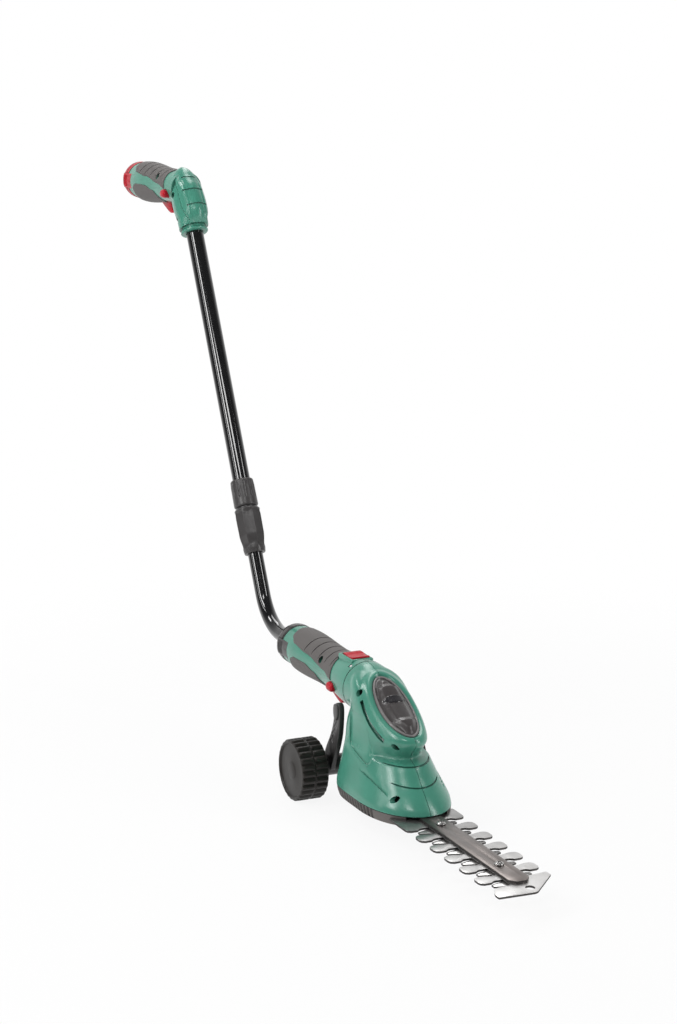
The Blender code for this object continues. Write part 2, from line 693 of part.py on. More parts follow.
def neck_skin(name, rise):
    """The outside of the handle's neck round the pole, grown by a rise."""
    to_handle = Matrix.Translation((HAND_TO_POLE, 0, 0)) @ Matrix.Rotation(-POLE_LEAN, 4, "Y")
    rings = []
    for height, forward, depth, width in NECK_PROFILE:
        rings.append([to_handle @ Vector((forward + (depth + rise) * x, (width + rise) * y, height))
                      for x, y in circle(1.0)])
    return loft(name, rings)


def upper_handle(handle_frame, pole_frame):
    """The battery handle at the top of the pole: a grip and a deep neck in one moulding."""
    neck = cutter("handle_neck", neck_skin("neck", 0.0), handle_frame)
    body = common_grip("handle", handle_frame, HANDLE_REAR, HAND_TO_GRIP_END + HAND_TO_POLE,
                       HANDLE_WAIST_RADIUS, HANDLE_FRONT_RADIUS, [neck], 0.0)
    neck_room = cutter("handle_neck_room", neck_skin("neck_room", GAP), handle_frame)
    subtract(bpy.data.objects["handle_top_pad"], neck_room)
    socket = rod("socket", (0, 0, -BIG), (0, 0, GAP - UPPER_TUBE_TOP), UPPER_TUBE_RADIUS + GAP)
    wire_x, wire_y = 1.8 * WIRE_WAY_RADIUS, WIRE_WAY_SIDE / 2
    wire_way = rod("wire_way", (wire_x, wire_y, -UPPER_TUBE_TOP), (wire_x, wire_y, WIRE_WAY_HEIGHT),
                   WIRE_WAY_RADIUS, sides=12)
    subtract(body, cutter("handle_tube_socket", socket, pole_frame),
             cutter("handle_neck_wire_way", wire_way, pole_frame))
    to_handle = Matrix.Translation((HAND_TO_POLE, 0, 0)) @ Matrix.Rotation(-POLE_LEAN, 4, "Y")
    low_screw = to_handle @ Vector((-UPPER_TUBE_RADIUS - 2 * SCREW_SHANK_RADIUS, 0, -1.75 * UPPER_TUBE_TOP))
    screw_along_y("handle_screw_low", handle_frame, low_screw.x, low_screw.z, NECK_LOW_SEAT, [body])
    mid_screw = to_handle @ Vector((-SCREW_SHANK_RADIUS, 0, -UPPER_TUBE_TOP / 3))
    screw_along_y("handle_screw_mid", handle_frame, mid_screw.x, mid_screw.z, NECK_MID_SEAT, [body])
    return body


def battery(parent, shells):
    """The slide-in battery: red end cap with two release tabs, tubular case and wrapped cells."""
    rear = HANDLE_REAR
    floor = rear - CAP_LENGTH + CAP_FLOOR
    cup = [(0, rear - CAP_LENGTH), (CAP_RADIUS - 0.0020, rear - CAP_LENGTH),
           (CAP_RADIUS, rear - CAP_LENGTH + 0.0035), (CAP_RADIUS, rear - GAP),
           (SPIGOT_RADIUS + GAP, rear - GAP), (SPIGOT_RADIUS + GAP, floor), (0, floor)]
    cap = part("battery_cap", along_x(turned("cap", cup[::-1])), parent, RED)
    release_tabs("battery", parent, rear, RED, shells, cap)
    front = rear + BAY_DEPTH - GAP
    inside = SPIGOT_RADIUS - CASE_WALL
    case = [(0, front), (SPIGOT_RADIUS, front), (SPIGOT_RADIUS, floor + GAP), (inside, floor + GAP),
            (inside, front - CASE_WALL), (0, front - CASE_WALL)]
    part("battery_case", along_x(turned("case", case)), parent, DARK_GREY)
    spread = 2 * CELL_RADIUS / math.sqrt(3)
    wrap = []
    for corner in range(3):
        middle = 2 * math.pi * corner / 3
        for step in range(7):
            angle = middle + math.radians(-60 + 20 * step)
            wrap.append((spread * math.cos(middle) + CELL_RADIUS * math.cos(angle),
                         spread * math.sin(middle) + CELL_RADIUS * math.sin(angle)))
    pack = along_x(plate("cells", wrap, floor + GAP, floor + GAP + CELL_LENGTH))
    part("battery_cell_pack", pack, parent, GEAR_NYLON)


def pole(handle_frame, pole_frame):
    """Two telescoping tubes, the twist clamp and the plug that goes into the trimmer."""
    tube = [(UPPER_TUBE_RADIUS, -UPPER_TUBE_TOP), (UPPER_TUBE_RADIUS, -UPPER_TUBE_END),
            (UPPER_TUBE_RADIUS - UPPER_TUBE_WALL, -UPPER_TUBE_END),
            (UPPER_TUBE_RADIUS - UPPER_TUBE_WALL, -UPPER_TUBE_TOP)]
    part("upper_tube", turned("upper_tube", tube), pole_frame, BLACK_TUBE)
    chamfer = 0.0012
    collar_bottom = -CLAMP_TOP - COLLAR_LENGTH
    collar = [(COLLAR_RADIUS - chamfer, -CLAMP_TOP), (COLLAR_RADIUS, -CLAMP_TOP - chamfer),
              (COLLAR_RADIUS, collar_bottom), (UPPER_TUBE_RADIUS + GAP, collar_bottom),
              (UPPER_TUBE_RADIUS + GAP, -CLAMP_TOP)]
    part("clamp_collar", turned("collar", collar), pole_frame, DARK_GREY)
    collet_radius = LOWER_TUBE_RADIUS + GAP + COLLET_WALL
    bore = max(collet_radius, UPPER_TUBE_RADIUS) + GAP
    lip_top = -SLEEVE_BOTTOM + SLEEVE_LIP
    sleeve = [(SLEEVE_RADIUS - chamfer, -SLEEVE_TOP), (SLEEVE_RADIUS, -SLEEVE_TOP - chamfer),
              (SLEEVE_RADIUS, -SLEEVE_TOP - 0.55 * SLEEVE_LENGTH), (SLEEVE_FOOT_RADIUS, -SLEEVE_BOTTOM),
              (LOWER_TUBE_RADIUS + GAP, -SLEEVE_BOTTOM), (LOWER_TUBE_RADIUS + GAP, lip_top),
              (bore, lip_top), (bore, -SLEEVE_TOP)]
    part("clamp_sleeve", turned("sleeve", sleeve), pole_frame, DARK_GREY)
    collet_top = -UPPER_TUBE_END - GAP
    collet = [(collet_radius, collet_top), (collet_radius, lip_top + GAP),
              (LOWER_TUBE_RADIUS + GAP, lip_top + GAP), (LOWER_TUBE_RADIUS + GAP, collet_top)]
    part("clamp_collet", turned("collet", collet), pole_frame, DARK_GREY)

    down = Vector((math.sin(POLE_LEAN), 0, -math.cos(POLE_LEAN)))
    forward = Vector((1, 0, 0))
    crossing = Vector((HAND_TO_POLE, 0, 0))
    corner = crossing + POLE_TO_CORNER * down
    turn = math.pi / 2 - POLE_LEAN
    tangent = BEND_RADIUS * math.tan(turn / 2)
    bend_start = corner - tangent * down
    inward = Vector((math.cos(POLE_LEAN), 0, math.sin(POLE_LEAN)))
    centre = bend_start + BEND_RADIUS * inward
    route = [crossing + LOWER_TUBE_TOP * down]
    bend_steps = 8
    for i in range(bend_steps + 1):
        angle = turn * i / bend_steps
        route.append(centre + BEND_RADIUS * (math.sin(angle) * down - math.cos(angle) * inward))
    route.append(corner + (CORNER_TO_PLUG + PLUG_SOCKET_DEPTH - GAP) * forward)
    curve = bpy.data.curves.new("lower_tube", "CURVE")
    curve.dimensions = "3D"
    curve.bevel_depth = LOWER_TUBE_RADIUS
    curve.bevel_resolution = 5
    spline = curve.splines.new("POLY")
    spline.points.add(len(route) - 1)
    for point, place in zip(spline.points, route):
        point.co = (*place, 1)
    made = bpy.data.objects.new("lower_tube", curve)
    CUTTERS.objects.link(made)
    tube = part("lower_tube", evaluated_mesh(made, close_ends=False), handle_frame, BLACK_TUBE)
    wall = tube.modifiers.new("wall", "SOLIDIFY")
    wall.thickness = LOWER_TUBE_WALL
    wall.offset = -1


def pole_plug(parent, shells):
    """The pole's lower end: a plug with the same outline as the battery, latched by two tabs."""
    rear = TRIMMER_REAR
    back = rear - CAP_LENGTH
    front = rear + BAY_DEPTH - GAP
    socket = LOWER_TUBE_RADIUS + GAP
    stop = back + PLUG_SOCKET_DEPTH
    inside = SPIGOT_RADIUS - 3 * CASE_WALL
    profile = [(PLUG_WIRE_RADIUS, front - 0.020), (inside, front - 0.018), (inside, front),
               (SPIGOT_RADIUS, front), (SPIGOT_RADIUS, rear - GAP), (CAP_RADIUS, rear - GAP),
               (CAP_RADIUS, back + 0.0035), (CAP_RADIUS - 0.0020, back), (socket, back),
               (socket, stop), (PLUG_WIRE_RADIUS, stop)]
    plug = part("pole_plug", along_x(turned("plug", profile)), parent, DARK_GREY)
    release_tabs("plug", parent, rear, DARK_GREY, shells, plug)


def trimmer_grip(parent):
    """The trimmer's own grip with its red head latch, charge lamp and swivel bore."""
    latch_rear = -LATCH_FRONT - LATCH_LENGTH
    frame_low = (latch_rear - LATCH_TRAVEL - FRAME_WALL, -LATCH_HALF_WIDTH - FRAME_WALL, 0.0)
    frame_high = (-LATCH_FRONT + FRAME_WALL, LATCH_HALF_WIDTH + FRAME_WALL, FRAME_TOP)
    raised = cutter("grip_latch_frame", box("latch_frame", frame_low, frame_high), parent)
    body = common_grip("grip", parent, TRIMMER_REAR, TRIMMER_GRIP_LENGTH - SEAM, TRIMMER_WAIST_RADIUS,
                       RING_RADIUS, [raised], CONTROL_SHIFT)
    slack = Vector((GAP, GAP, GAP))
    frame_room = box("frame_room", Vector(frame_low) - slack, Vector(frame_high) + slack)
    subtract(bpy.data.objects["grip_top_pad"], cutter("grip_latch_frame_room", frame_room, parent))
    pocket = box("pocket", (latch_rear - LATCH_TRAVEL - GAP, -LATCH_HALF_WIDTH - GAP, LATCH_SEAT - GAP),
                 (-LATCH_FRONT + GAP, LATCH_HALF_WIDTH + GAP, BIG))
    bore = rod("bore", (-SWIVEL_BACK - GAP, 0, 0), (BIG, 0, 0), SWIVEL_RADIUS + GAP)
    flange_room = rod("flange_room", (-SWIVEL_BACK - SWIVEL_FLANGE - 2 * GAP, 0, 0), (-SWIVEL_BACK, 0, 0),
                      SWIVEL_FLANGE_RADIUS + GAP)
    lamp_out = Vector((0, math.cos(LAMP_ANGLE), math.sin(LAMP_ANGLE)))
    lamp_tip = Vector((-LAMP_BACK, 0, 0)) + (RING_RADIUS + 0.0008) * lamp_out
    lamp_root = lamp_tip - LAMP_LENGTH * lamp_out
    lamp_hole = rod("lamp_hole", lamp_root - GAP * lamp_out, lamp_tip + 0.01 * lamp_out,
                    LAMP_RADIUS + GAP, sides=12)
    subtract(body, cutter("grip_latch_pocket", pocket, parent), cutter("grip_swivel_bore", bore, parent),
             cutter("grip_flange_room", flange_room, parent), cutter("grip_lamp_hole", lamp_hole, parent))
    latch_mid = Vector((-LATCH_FRONT - LATCH_LENGTH / 2, 0, LATCH_SEAT))
    latch = box("latch", (latch_rear, -LATCH_HALF_WIDTH, LATCH_SEAT),
                (-LATCH_FRONT, LATCH_HALF_WIDTH, LATCH_TOP))
    part("head_latch", latch, parent, RED, latch_mid)
    part("charge_lamp", rod("lamp", lamp_root, lamp_tip, LAMP_RADIUS, 0.7 * LAMP_RADIUS, sides=12),
         parent, LAMP_LENS)
    return body


def head_section(z, inset):
    """One level ring of the head, drawn in by an inset."""
    columns = [[(row[0], row[i]) for row in HEAD_PROFILE] for i in range(1, 5)]
    back, widest, front, half = (straight(column, z) for column in columns)
    ring = []
    count = 32
    for i in range(count):
        angle = 2 * math.pi * i / count
        c, s = math.cos(angle), math.sin(angle)
        power = HEAD_FRONT_POWER if c >= 0 else HEAD_REAR_POWER
        length = front - widest if c >= 0 else widest - back
        x = widest + (length - inset) * math.copysign(abs(c) ** (2 / power), c)
        ring.append(Vector((x, (half - inset) * math.copysign(abs(s) ** (2 / power), s), z)))
    return ring


HEAD_LEVELS = tuple(row[0] for row in HEAD_PROFILE)


def head_skin(name, shift=0.0):
    """The outside of the head, moved out or in along the cover's slope."""
    move = shift * Vector((math.sin(COVER_SLOPE), 0, math.cos(COVER_SLOPE)))
    return loft(name, [[point + move for point in head_section(z, 0.0)] for z in HEAD_LEVELS])


def cover_prism(name, slack):
    """An oval column standing square on the sloping top of the head."""
    mesh = plate(name, [((COVER_LENGTH / 2 + slack) * x, (COVER_WIDTH / 2 + slack) * y)
                        for x, y in circle(1.0, 32)], -0.012, 0.030)
    mesh.transform(Matrix.Translation((COVER_AT, 0, COVER_HEIGHT)) @ Matrix.Rotation(COVER_SLOPE, 4, "Y"))
    return mesh


def head(parent):
    """The swivelling head: two shells, oval cover, swivel tube and three housing screws."""
    body = cutter("head_body", head_skin("head_body"), parent)
    neck_rings = []
    for at, radius in ((SEAM, RING_RADIUS), (NECK_FLARE_LENGTH, RING_RADIUS + NECK_FLARE)):
        neck_rings.append([Vector((at, y, z)) for y, z in circle(radius)])
    neck = cutter("head_neck", loft("head_neck", neck_rings), parent)
    unite(body, neck)
    cavity_back = SWIVEL_FRONT + GAP
    rings = []
    for z in (FOOT_Z - 0.005,) + HEAD_LEVELS[:-3] + (HEAD_LEVELS[-3] - HEAD_WALL,):
        ring = head_section(z, HEAD_WALL)
        rings.append([Vector((max(point.x, cavity_back), point.y, point.z)) for point in ring])
    cavity = cutter("head_cavity", loft("cavity", rings), parent)
    intersect(cavity, cutter("head_roof", head_skin("roof", -COVER_DEPTH - HEAD_WALL / 2), parent))
    subtract(body, cavity)

    core_rings = [head_section(z, HEAD_WALL / 2) for z in HEAD_LEVELS[:-2]]
    core = cutter("head_boss_limit", loft("core", core_rings), parent)
    for name, (x, z, seat) in HEAD_SCREWS.items():
        boss = cutter(f"{name}_boss", rod("boss", (x, -BIG, z), (x, BIG, z), BOSS_RADIUS, sides=16), parent)
        intersect(boss, core)
        unite(body, boss)
    bore = rod("bore", (-BIG, 0, 0), (SWIVEL_FRONT + 0.002, 0, 0), SWIVEL_RADIUS + GAP)
    flange_room = rod("flange_room", (SWIVEL_FRONT, 0, 0), (SWIVEL_FRONT + SWIVEL_FLANGE + 2 * GAP, 0, 0),
                      SWIVEL_FLANGE_RADIUS + GAP)
    pocket = cutter("cover_pocket", cover_prism("pocket", GAP), parent)
    subtract(pocket, cutter("cover_pocket_floor", head_skin("floor", -COVER_DEPTH), parent))
    subtract(body, cutter("head_bore", bore, parent), cutter("head_flange_room", flange_room, parent), pocket)
    for name, (x, z, seat) in HEAD_SCREWS.items():
        screw_along_y(name, parent, x, z, seat, [body])
    split_shells("head", body, parent)

    cover = part("oval_cover", cover_prism("cover", 0.0), parent, DARK_GREY)
    intersect(cover, cutter("cover_top", head_skin("cover_top", COVER_PROUD), parent))
    subtract(cover, cutter("cover_bottom", head_skin("cover_bottom", GAP - COVER_DEPTH), parent))

    rear_flange = -SWIVEL_BACK - SWIVEL_FLANGE
    front_flange = SWIVEL_FRONT + SWIVEL_FLANGE
    profile = [(SWIVEL_BORE, rear_flange), (SWIVEL_FLANGE_RADIUS, rear_flange),
               (SWIVEL_FLANGE_RADIUS, -SWIVEL_BACK - GAP), (SWIVEL_RADIUS, -SWIVEL_BACK - GAP),
               (SWIVEL_RADIUS, SWIVEL_FRONT + GAP), (SWIVEL_FLANGE_RADIUS, SWIVEL_FRONT + GAP),
               (SWIVEL_FLANGE_RADIUS, front_flange), (SWIVEL_BORE, front_flange)]
    part("swivel_tube", along_x(turned("swivel_tube", profile[::-1])), parent, DARK_GREY)


def base_plate(parent):
    """The sole under the head: tray for the blades, socket for the wheels, posts for the gears."""
    rings = []
    for z, inset in ((BASE_BOTTOM, BASE_INSET + BASE_TAPER), (BASE_TOP, BASE_INSET)):
        rings.append([Vector((point.x, point.y, z)) for point in head_section(FOOT_Z, inset)])
    base = part("base_plate", loft("base", rings), parent, DARK_GREY)
    floor = CUTTER_BOTTOM - GAP
    nose_cut = box("nose_cut", (BASE_FRONT, -BIG, -BIG), (BIG, BIG, BIG))
    cutter_way = box("cutter_way", (CUTTER_TAIL - GAP, -CUTTER_TAIL_HALF_WIDTH - GAP, floor),
                     (BIG, CUTTER_TAIL_HALF_WIDTH + GAP, BIG))
    tail_way = box("tail_way", (BLADE_TAIL - GAP, -TAIL_HALF_WIDTH - GAP, FIXED_BOTTOM - GAP),
                   (BIG, TAIL_HALF_WIDTH + GAP, BIG))
    front_way = box("front_way", (TRAY_FRONT, -BIG, floor), (BIG, BIG, BIG))
    tongue_way = box("tongue_way", (-BIG, -TONGUE_HALF_WIDTH - GAP, TONGUE_TOP - TONGUE_THICKNESS - GAP),
                     (TONGUE_REACH + GAP, TONGUE_HALF_WIDTH + GAP, TONGUE_TOP + GAP))
    for name, mesh in (("base_nose_cut", nose_cut), ("base_cutter_way", cutter_way),
                       ("base_tail_way", tail_way), ("base_front_way", front_way),
                       ("base_tongue_way", tongue_way)):
        subtract(base, cutter(name, mesh, parent))
    for x in (POST_REAR, POST_FRONT):
        for y in (-POST_HALF_GAUGE, POST_HALF_GAUGE):
            post = rod("post", (x, y, BASE_TOP - 0.002), (x, y, GEAR_PLATE_Z - GAP), POST_RADIUS, sides=16)
            unite(base, cutter("base_post", post, parent))


def gear_outline(teeth, phase):
    """A spur gear's outline with straight-sided teeth and generous backlash."""
    pitch_radius = GEAR_MODULE * teeth / 2
    step = 2 * math.pi / teeth
    foot, tip = pitch_radius - 1.2 * GEAR_MODULE, pitch_radius + 0.75 * GEAR_MODULE
    outline = []
    for tooth in range(teeth):
        middle = phase + tooth * step
        for share, radius in ((-0.28, foot), (-0.10, tip), (0.10, tip), (0.28, foot)):
            angle = middle + share * step
            outline.append((radius * math.cos(angle), radius * math.sin(angle)))
    return outline


def gear_train(parent):
    """Motor, pinion, crank gear and the plate that carries them."""
    plate_top = GEAR_PLATE_Z + GEAR_PLATE_THICKNESS
    low_x, high_x = POST_REAR - GEAR_PLATE_MARGIN, POST_FRONT + GEAR_PLATE_MARGIN
    carrier = part("gear_plate", box("gear_plate", (low_x, -GEAR_PLATE_HALF_WIDTH, GEAR_PLATE_Z),
                                     (high_x, GEAR_PLATE_HALF_WIDTH, plate_top)), parent, STEEL)
    for x, radius in ((MOTOR_AT, MOTOR_SHAFT_RADIUS), (GEAR_AT, SPINDLE_RADIUS)):
        hole = rod("hole", (x, 0, -BIG), (x, 0, BIG), radius + GAP, sides=16)
        subtract(carrier, cutter("gear_plate_hole", hole, parent))
    motor_low = plate_top + GAP
    motor = part("motor", rod("motor", (MOTOR_AT, 0, motor_low), (MOTOR_AT, 0, motor_low + MOTOR_LENGTH),
                              MOTOR_RADIUS), parent, STEEL)
    shaft_room = rod("shaft_room", (MOTOR_AT, 0, motor_low - 0.01), (MOTOR_AT, 0, motor_low + 0.012),
                     MOTOR_SHAFT_RADIUS + GAP, sides=16)
    subtract(motor, cutter("motor_shaft_room", shaft_room, parent))
    low, high = GEAR_TOP - GEAR_WIDTH, GEAR_TOP
    pinion_axis = Vector((MOTOR_AT, 0, low))
    toothed = plate("pinion", gear_outline(PINION_TEETH, math.pi / PINION_TEETH), low, high)
    toothed.transform(Matrix.Translation((MOTOR_AT, 0, 0)))
    pinion = part("motor_pinion", toothed, parent, STEEL, pinion_axis)
    shaft = rod("shaft", (MOTOR_AT, 0, high - 0.002), (MOTOR_AT, 0, motor_low + 0.010),
                MOTOR_SHAFT_RADIUS, sides=16)
    unite(pinion, cutter("pinion_shaft", shaft, parent))
    toothed = plate("gear", gear_outline(GEAR_TEETH, math.pi), low, high)
    toothed.transform(Matrix.Translation((GEAR_AT, 0, 0)))
    gear = part("drive_gear", toothed, parent, GEAR_NYLON, (GEAR_AT, 0, low))
    spindle = rod("spindle", (GEAR_AT, 0, high - 0.002), (GEAR_AT, 0, plate_top + 0.002),
                  SPINDLE_RADIUS, sides=16)
    pin_at = GEAR_AT - CRANK_RADIUS
    crank = rod("crank", (pin_at, 0, low + 0.002), (pin_at, 0, CUTTER_TOP + GAP), CRANK_PIN_RADIUS, sides=16)
    unite(gear, cutter("gear_spindle", spindle, parent), cutter("gear_crank", crank, parent))


def club_tooth(at, side):
    """A blunt club tooth of the fixed blade, rear root to front root."""
    waist = 0.97 * TOOTH_NECK
    half = [(TOOTH_NECK, TOOTH_ROOT), (waist, 0.47 * TOOTH_REACH), (1.12 * TOOTH_NECK, 0.58 * TOOTH_REACH),
            (0.96 * TOOTH_HEAD, 0.67 * TOOTH_REACH), (TOOTH_HEAD, 0.77 * TOOTH_REACH),
            (0.86 * TOOTH_HEAD, 0.89 * TOOTH_REACH), (TOOTH_TIP, TOOTH_REACH)]
    shape = [(-x, y) for x, y in half] + half[::-1]
    return [(at + x, side * y) for x, y in shape]


def cutting_tooth(at, side):
    """A tapered cutting tooth of the moving cutter."""
    shape = [(-CUTTER_ROOT, TOOTH_ROOT), (-CUTTER_TIP, CUTTER_REACH), (CUTTER_TIP, CUTTER_REACH),
             (CUTTER_ROOT, TOOTH_ROOT)]
    return [(at + x, side * y) for x, y in shape]


def tooth_places(side):
    first = TOOTH_FIRST_LEFT + (TOOTH_STAGGER if side < 0 else 0.0)
    return [first + TOOTH_PITCH * i for i in range(TOOTH_COUNT)]


def shoulder(side):
    """The blunt shoulder of the fixed blade where it leaves the housing, rear to front."""
    front = tooth_places(side)[0] - TOOTH_PITCH
    reach = side * TOOTH_REACH
    return [(TRAY_FRONT + GAP, side * TAIL_HALF_WIDTH), (TRAY_FRONT + 0.010, reach), (front, reach),
            (front + 0.86 * TOOTH_HEAD, 0.89 * reach), (front + TOOTH_HEAD, 0.77 * reach),
            (front + 1.12 * TOOTH_NECK, 0.58 * reach), (front + TOOTH_NECK, side * TOOTH_ROOT)]


def blade_end():
    """The blunt end of the fixed blade: a straight arm to the right, a swept arm to the left."""
    reach = TOOTH_REACH
    right = [(BLADE_END - 0.0220, -TOOTH_ROOT), (BLADE_END - 0.0215, -0.72 * reach),
             (BLADE_END - 0.0120, -0.95 * reach), (BLADE_END - 0.0080, -reach), (BLADE_END - 0.0025, -reach)]
    left = [(BLADE_END, 0.03 * reach), (BLADE_END - 0.0012, 0.13 * reach), (BLADE_END - 0.0290, reach),
            (BLADE_END - 0.0365, reach), (BLADE_END - 0.0345, TOOTH_ROOT)]
    return right + left


def blades(parent):
    """Guide plate, fixed club-tooth blade and reciprocating cutter, held by two dome screws."""
    right, left = [], []
    for side, row in ((-1, right), (1, left)):
        row.append((BLADE_TAIL, side * TAIL_HALF_WIDTH))
        row.extend(shoulder(side))
        for at in tooth_places(side):
            row.extend(club_tooth(at, side))
    outline = right + blade_end() + left[::-1]
    fixed = part("fixed_blade", plate("fixed", outline, FIXED_BOTTOM, FIXED_TOP), parent, STEEL)
    guide_outline = [(GUIDE_REAR, -GUIDE_HALF_WIDTH), (GUIDE_FRONT - 0.006, -GUIDE_HALF_WIDTH),
                     (GUIDE_FRONT, -0.5 * GUIDE_HALF_WIDTH), (GUIDE_FRONT, 0.5 * GUIDE_HALF_WIDTH),
                     (GUIDE_FRONT - 0.006, GUIDE_HALF_WIDTH), (GUIDE_REAR, GUIDE_HALF_WIDTH)]
    guide = part("guide_plate", plate("guide", guide_outline, FIXED_TOP + GAP, GUIDE_TOP), parent,
                 GUIDE_STEEL)

    right, left = [], []
    for side, row in ((-1, right), (1, left)):
        places = tooth_places(side)
        row.append((CUTTER_TAIL, side * CUTTER_TAIL_HALF_WIDTH))
        row.append((TRAY_FRONT, side * CUTTER_TAIL_HALF_WIDTH))
        row.append((TRAY_FRONT + 0.005, side * TOOTH_ROOT))
        for at in [places[0] - TOOTH_PITCH] + places:
            row.extend(cutting_tooth(at + CUTTER_OFFSET, side))
        row.append((GUIDE_FRONT, side * TOOTH_ROOT * 0.7))
    moving = part("moving_cutter", plate("moving", right + left[::-1], CUTTER_BOTTOM, CUTTER_TOP),
                  parent, STEEL)
    yoke_at = GEAR_AT - CRANK_RADIUS
    half_x = CRANK_PIN_RADIUS + GAP
    half_y = CRANK_RADIUS + half_x
    yoke = box("yoke", (yoke_at - half_x, -half_y, -BIG), (yoke_at + half_x, half_y, BIG))
    subtract(moving, cutter("cutter_yoke", yoke, parent))
    shank = BLADE_SCREW_SHANK_RADIUS
    slot_end = END_SLOT_HALF_LENGTH
    end_slot = box("end_slot", (END_SLOT_AT - END_SLOT_HALF_WIDTH, END_SLOT_SIDE - slot_end, -BIG),
                   (END_SLOT_AT + END_SLOT_HALF_WIDTH, END_SLOT_SIDE + slot_end, BIG))
    subtract(fixed, cutter("end_slot", end_slot, parent))
    for name, x in (("blade_screw_rear", BLADE_SCREW_REAR), ("blade_screw_front", BLADE_SCREW_FRONT)):
        hole = cutter(f"{name}_hole", rod("hole", (x, 0, -BIG), (x, 0, BIG), shank + GAP, sides=16), parent)
        subtract(fixed, hole)
        subtract(guide, hole)
        slot = box("slot", (x - shank - CUTTER_STROKE - GAP, -shank - GAP, -BIG),
                   (x + shank + GAP, shank + GAP, BIG))
        subtract(moving, cutter(f"{name}_slot", slot, parent))
        seat, foot = GUIDE_TOP + GAP, CUTTER_BOTTOM - GAP
        dome = [(0, seat + BLADE_SCREW_HEAD_HEIGHT),
                (0.6 * BLADE_SCREW_HEAD_RADIUS, seat + 0.85 * BLADE_SCREW_HEAD_HEIGHT),
                (BLADE_SCREW_HEAD_RADIUS, seat + 0.25 * BLADE_SCREW_HEAD_HEIGHT),
                (BLADE_SCREW_HEAD_RADIUS, seat), (shank, seat), (shank, foot), (1.8 * shank, foot),
                (1.8 * shank, foot - BLADE_SCREW_FOOT), (0, foot - BLADE_SCREW_FOOT)]
        mesh = turned(name, dome, 16)
        mesh.transform(Matrix.Translation((x, 0, 0)))
        part(name, mesh, parent, SCREW_STEEL)


def ridged_outline():
    """A wheel tread's outline with rounded ridges."""
    outline = []
    step = 2 * math.pi / WHEEL_RIDGES
    for ridge in range(WHEEL_RIDGES):
        for share, depth in ((-0.32, 0.0), (0.32, 0.0), (0.42, WHEEL_RIDGE_DEPTH),
                             (0.58, WHEEL_RIDGE_DEPTH)):
            angle = (ridge + share) * step
            radius = WHEEL_RADIUS - depth
            outline.append((radius * math.cos(angle), radius * math.sin(angle)))
    return outline


def wheel_carriage(parent):
    """The clip-on carriage: fork with two arms and a tongue, axle and two ridged wheels."""
    axle_at = Vector((-AXLE_BACK, 0, -AXLE_DROP))
    hub_end = Vector((0, HUB_HALF_LENGTH, 0))
    fork = part("wheel_fork", rod("fork", axle_at - hub_end, axle_at + hub_end, HUB_RADIUS), parent,
                DARK_GREY)
    pad = Vector((-ARM_PAD_BACK, 0, -ARM_PAD_DROP))
    arm = []
    for step in range(9):
        angle = math.radians(-25 + 230 * step / 8)
        arm.append((pad.x + ARM_PAD_RADIUS * math.cos(angle), pad.z + ARM_PAD_RADIUS * math.sin(angle)))
    rise = ARM_PAD_DROP - AXLE_DROP
    arm.extend([(pad.x - 0.75 * ARM_PAD_RADIUS, pad.z + 0.20 * rise),
                (pad.x - 1.1 * ARM_PAD_RADIUS, pad.z + 0.45 * rise),
                (axle_at.x - 0.30 * HUB_RADIUS, pad.z + 0.75 * rise),
                (axle_at.x - 0.80 * HUB_RADIUS, axle_at.z), (axle_at.x + 0.90 * HUB_RADIUS, axle_at.z),
                (axle_at.x + 1.3 * HUB_RADIUS, pad.z + 0.75 * rise),
                (pad.x + 0.75 * ARM_PAD_RADIUS, pad.z + 0.45 * rise),
                (pad.x + 0.75 * ARM_PAD_RADIUS, pad.z + 0.20 * rise)])
    for side in (-1, 1):
        middle = side * ARM_SPREAD
        mesh = side_plate("arm", arm, middle - ARM_THICKNESS / 2, middle + ARM_THICKNESS / 2)
        unite(fork, cutter("fork_arm", mesh, parent))
    tongue_low = Vector((axle_at.x, -TONGUE_HALF_WIDTH, TONGUE_TOP - TONGUE_THICKNESS))
    tongue = box("tongue", tongue_low, (TONGUE_REACH, TONGUE_HALF_WIDTH, TONGUE_TOP))
    heel = box("heel", tongue_low, (HEEL_REACH, TONGUE_HALF_WIDTH, HEEL_TOP))
    unite(fork, cutter("fork_tongue", tongue, parent), cutter("fork_heel", heel, parent))
    axle_end = Vector((0, AXLE_HALF_LENGTH, 0))
    bore = rod("bore", axle_at - 2 * hub_end, axle_at + 2 * hub_end, AXLE_RADIUS + GAP, sides=20)
    subtract(fork, cutter("fork_bore", bore, parent))
    part("wheel_axle", rod("axle", axle_at - axle_end, axle_at + axle_end, AXLE_RADIUS, sides=20),
         parent, STEEL, axle_at)
    outer = WHEEL_INNER + WHEEL_WIDTH
    for name, side in (("wheel_left", 1), ("wheel_right", -1)):
        low, high = sorted((side * WHEEL_INNER, side * outer))
        mesh = side_plate(name, ridged_outline(), low, high)
        mesh.transform(Matrix.Translation((axle_at.x, 0, axle_at.z)))
        centre = axle_at + Vector((0, side * (WHEEL_INNER + WHEEL_WIDTH / 2), 0))
        wheel = part(name, mesh, parent, DARK_GREY, centre)
        inward = Vector((0, side * (WHEEL_INNER - GAP), 0))
        blind_end = axle_at + Vector((0, side * (AXLE_HALF_LENGTH + GAP), 0))
        blind = rod("blind", axle_at + 0.5 * inward, blind_end, AXLE_RADIUS + GAP, sides=20)
        dish = rod("dish", axle_at + Vector((0, side * (outer - WHEEL_DISH), 0)),
                   axle_at + Vector((0, side * (outer + WHEEL_DISH), 0)),
                   WHEEL_RADIUS - WHEEL_RIM - WHEEL_DISH, WHEEL_RADIUS - WHEEL_RIM + WHEEL_DISH)
        subtract(wheel, cutter(f"{name}_bore", blind, parent), cutter(f"{name}_dish", dish, parent))


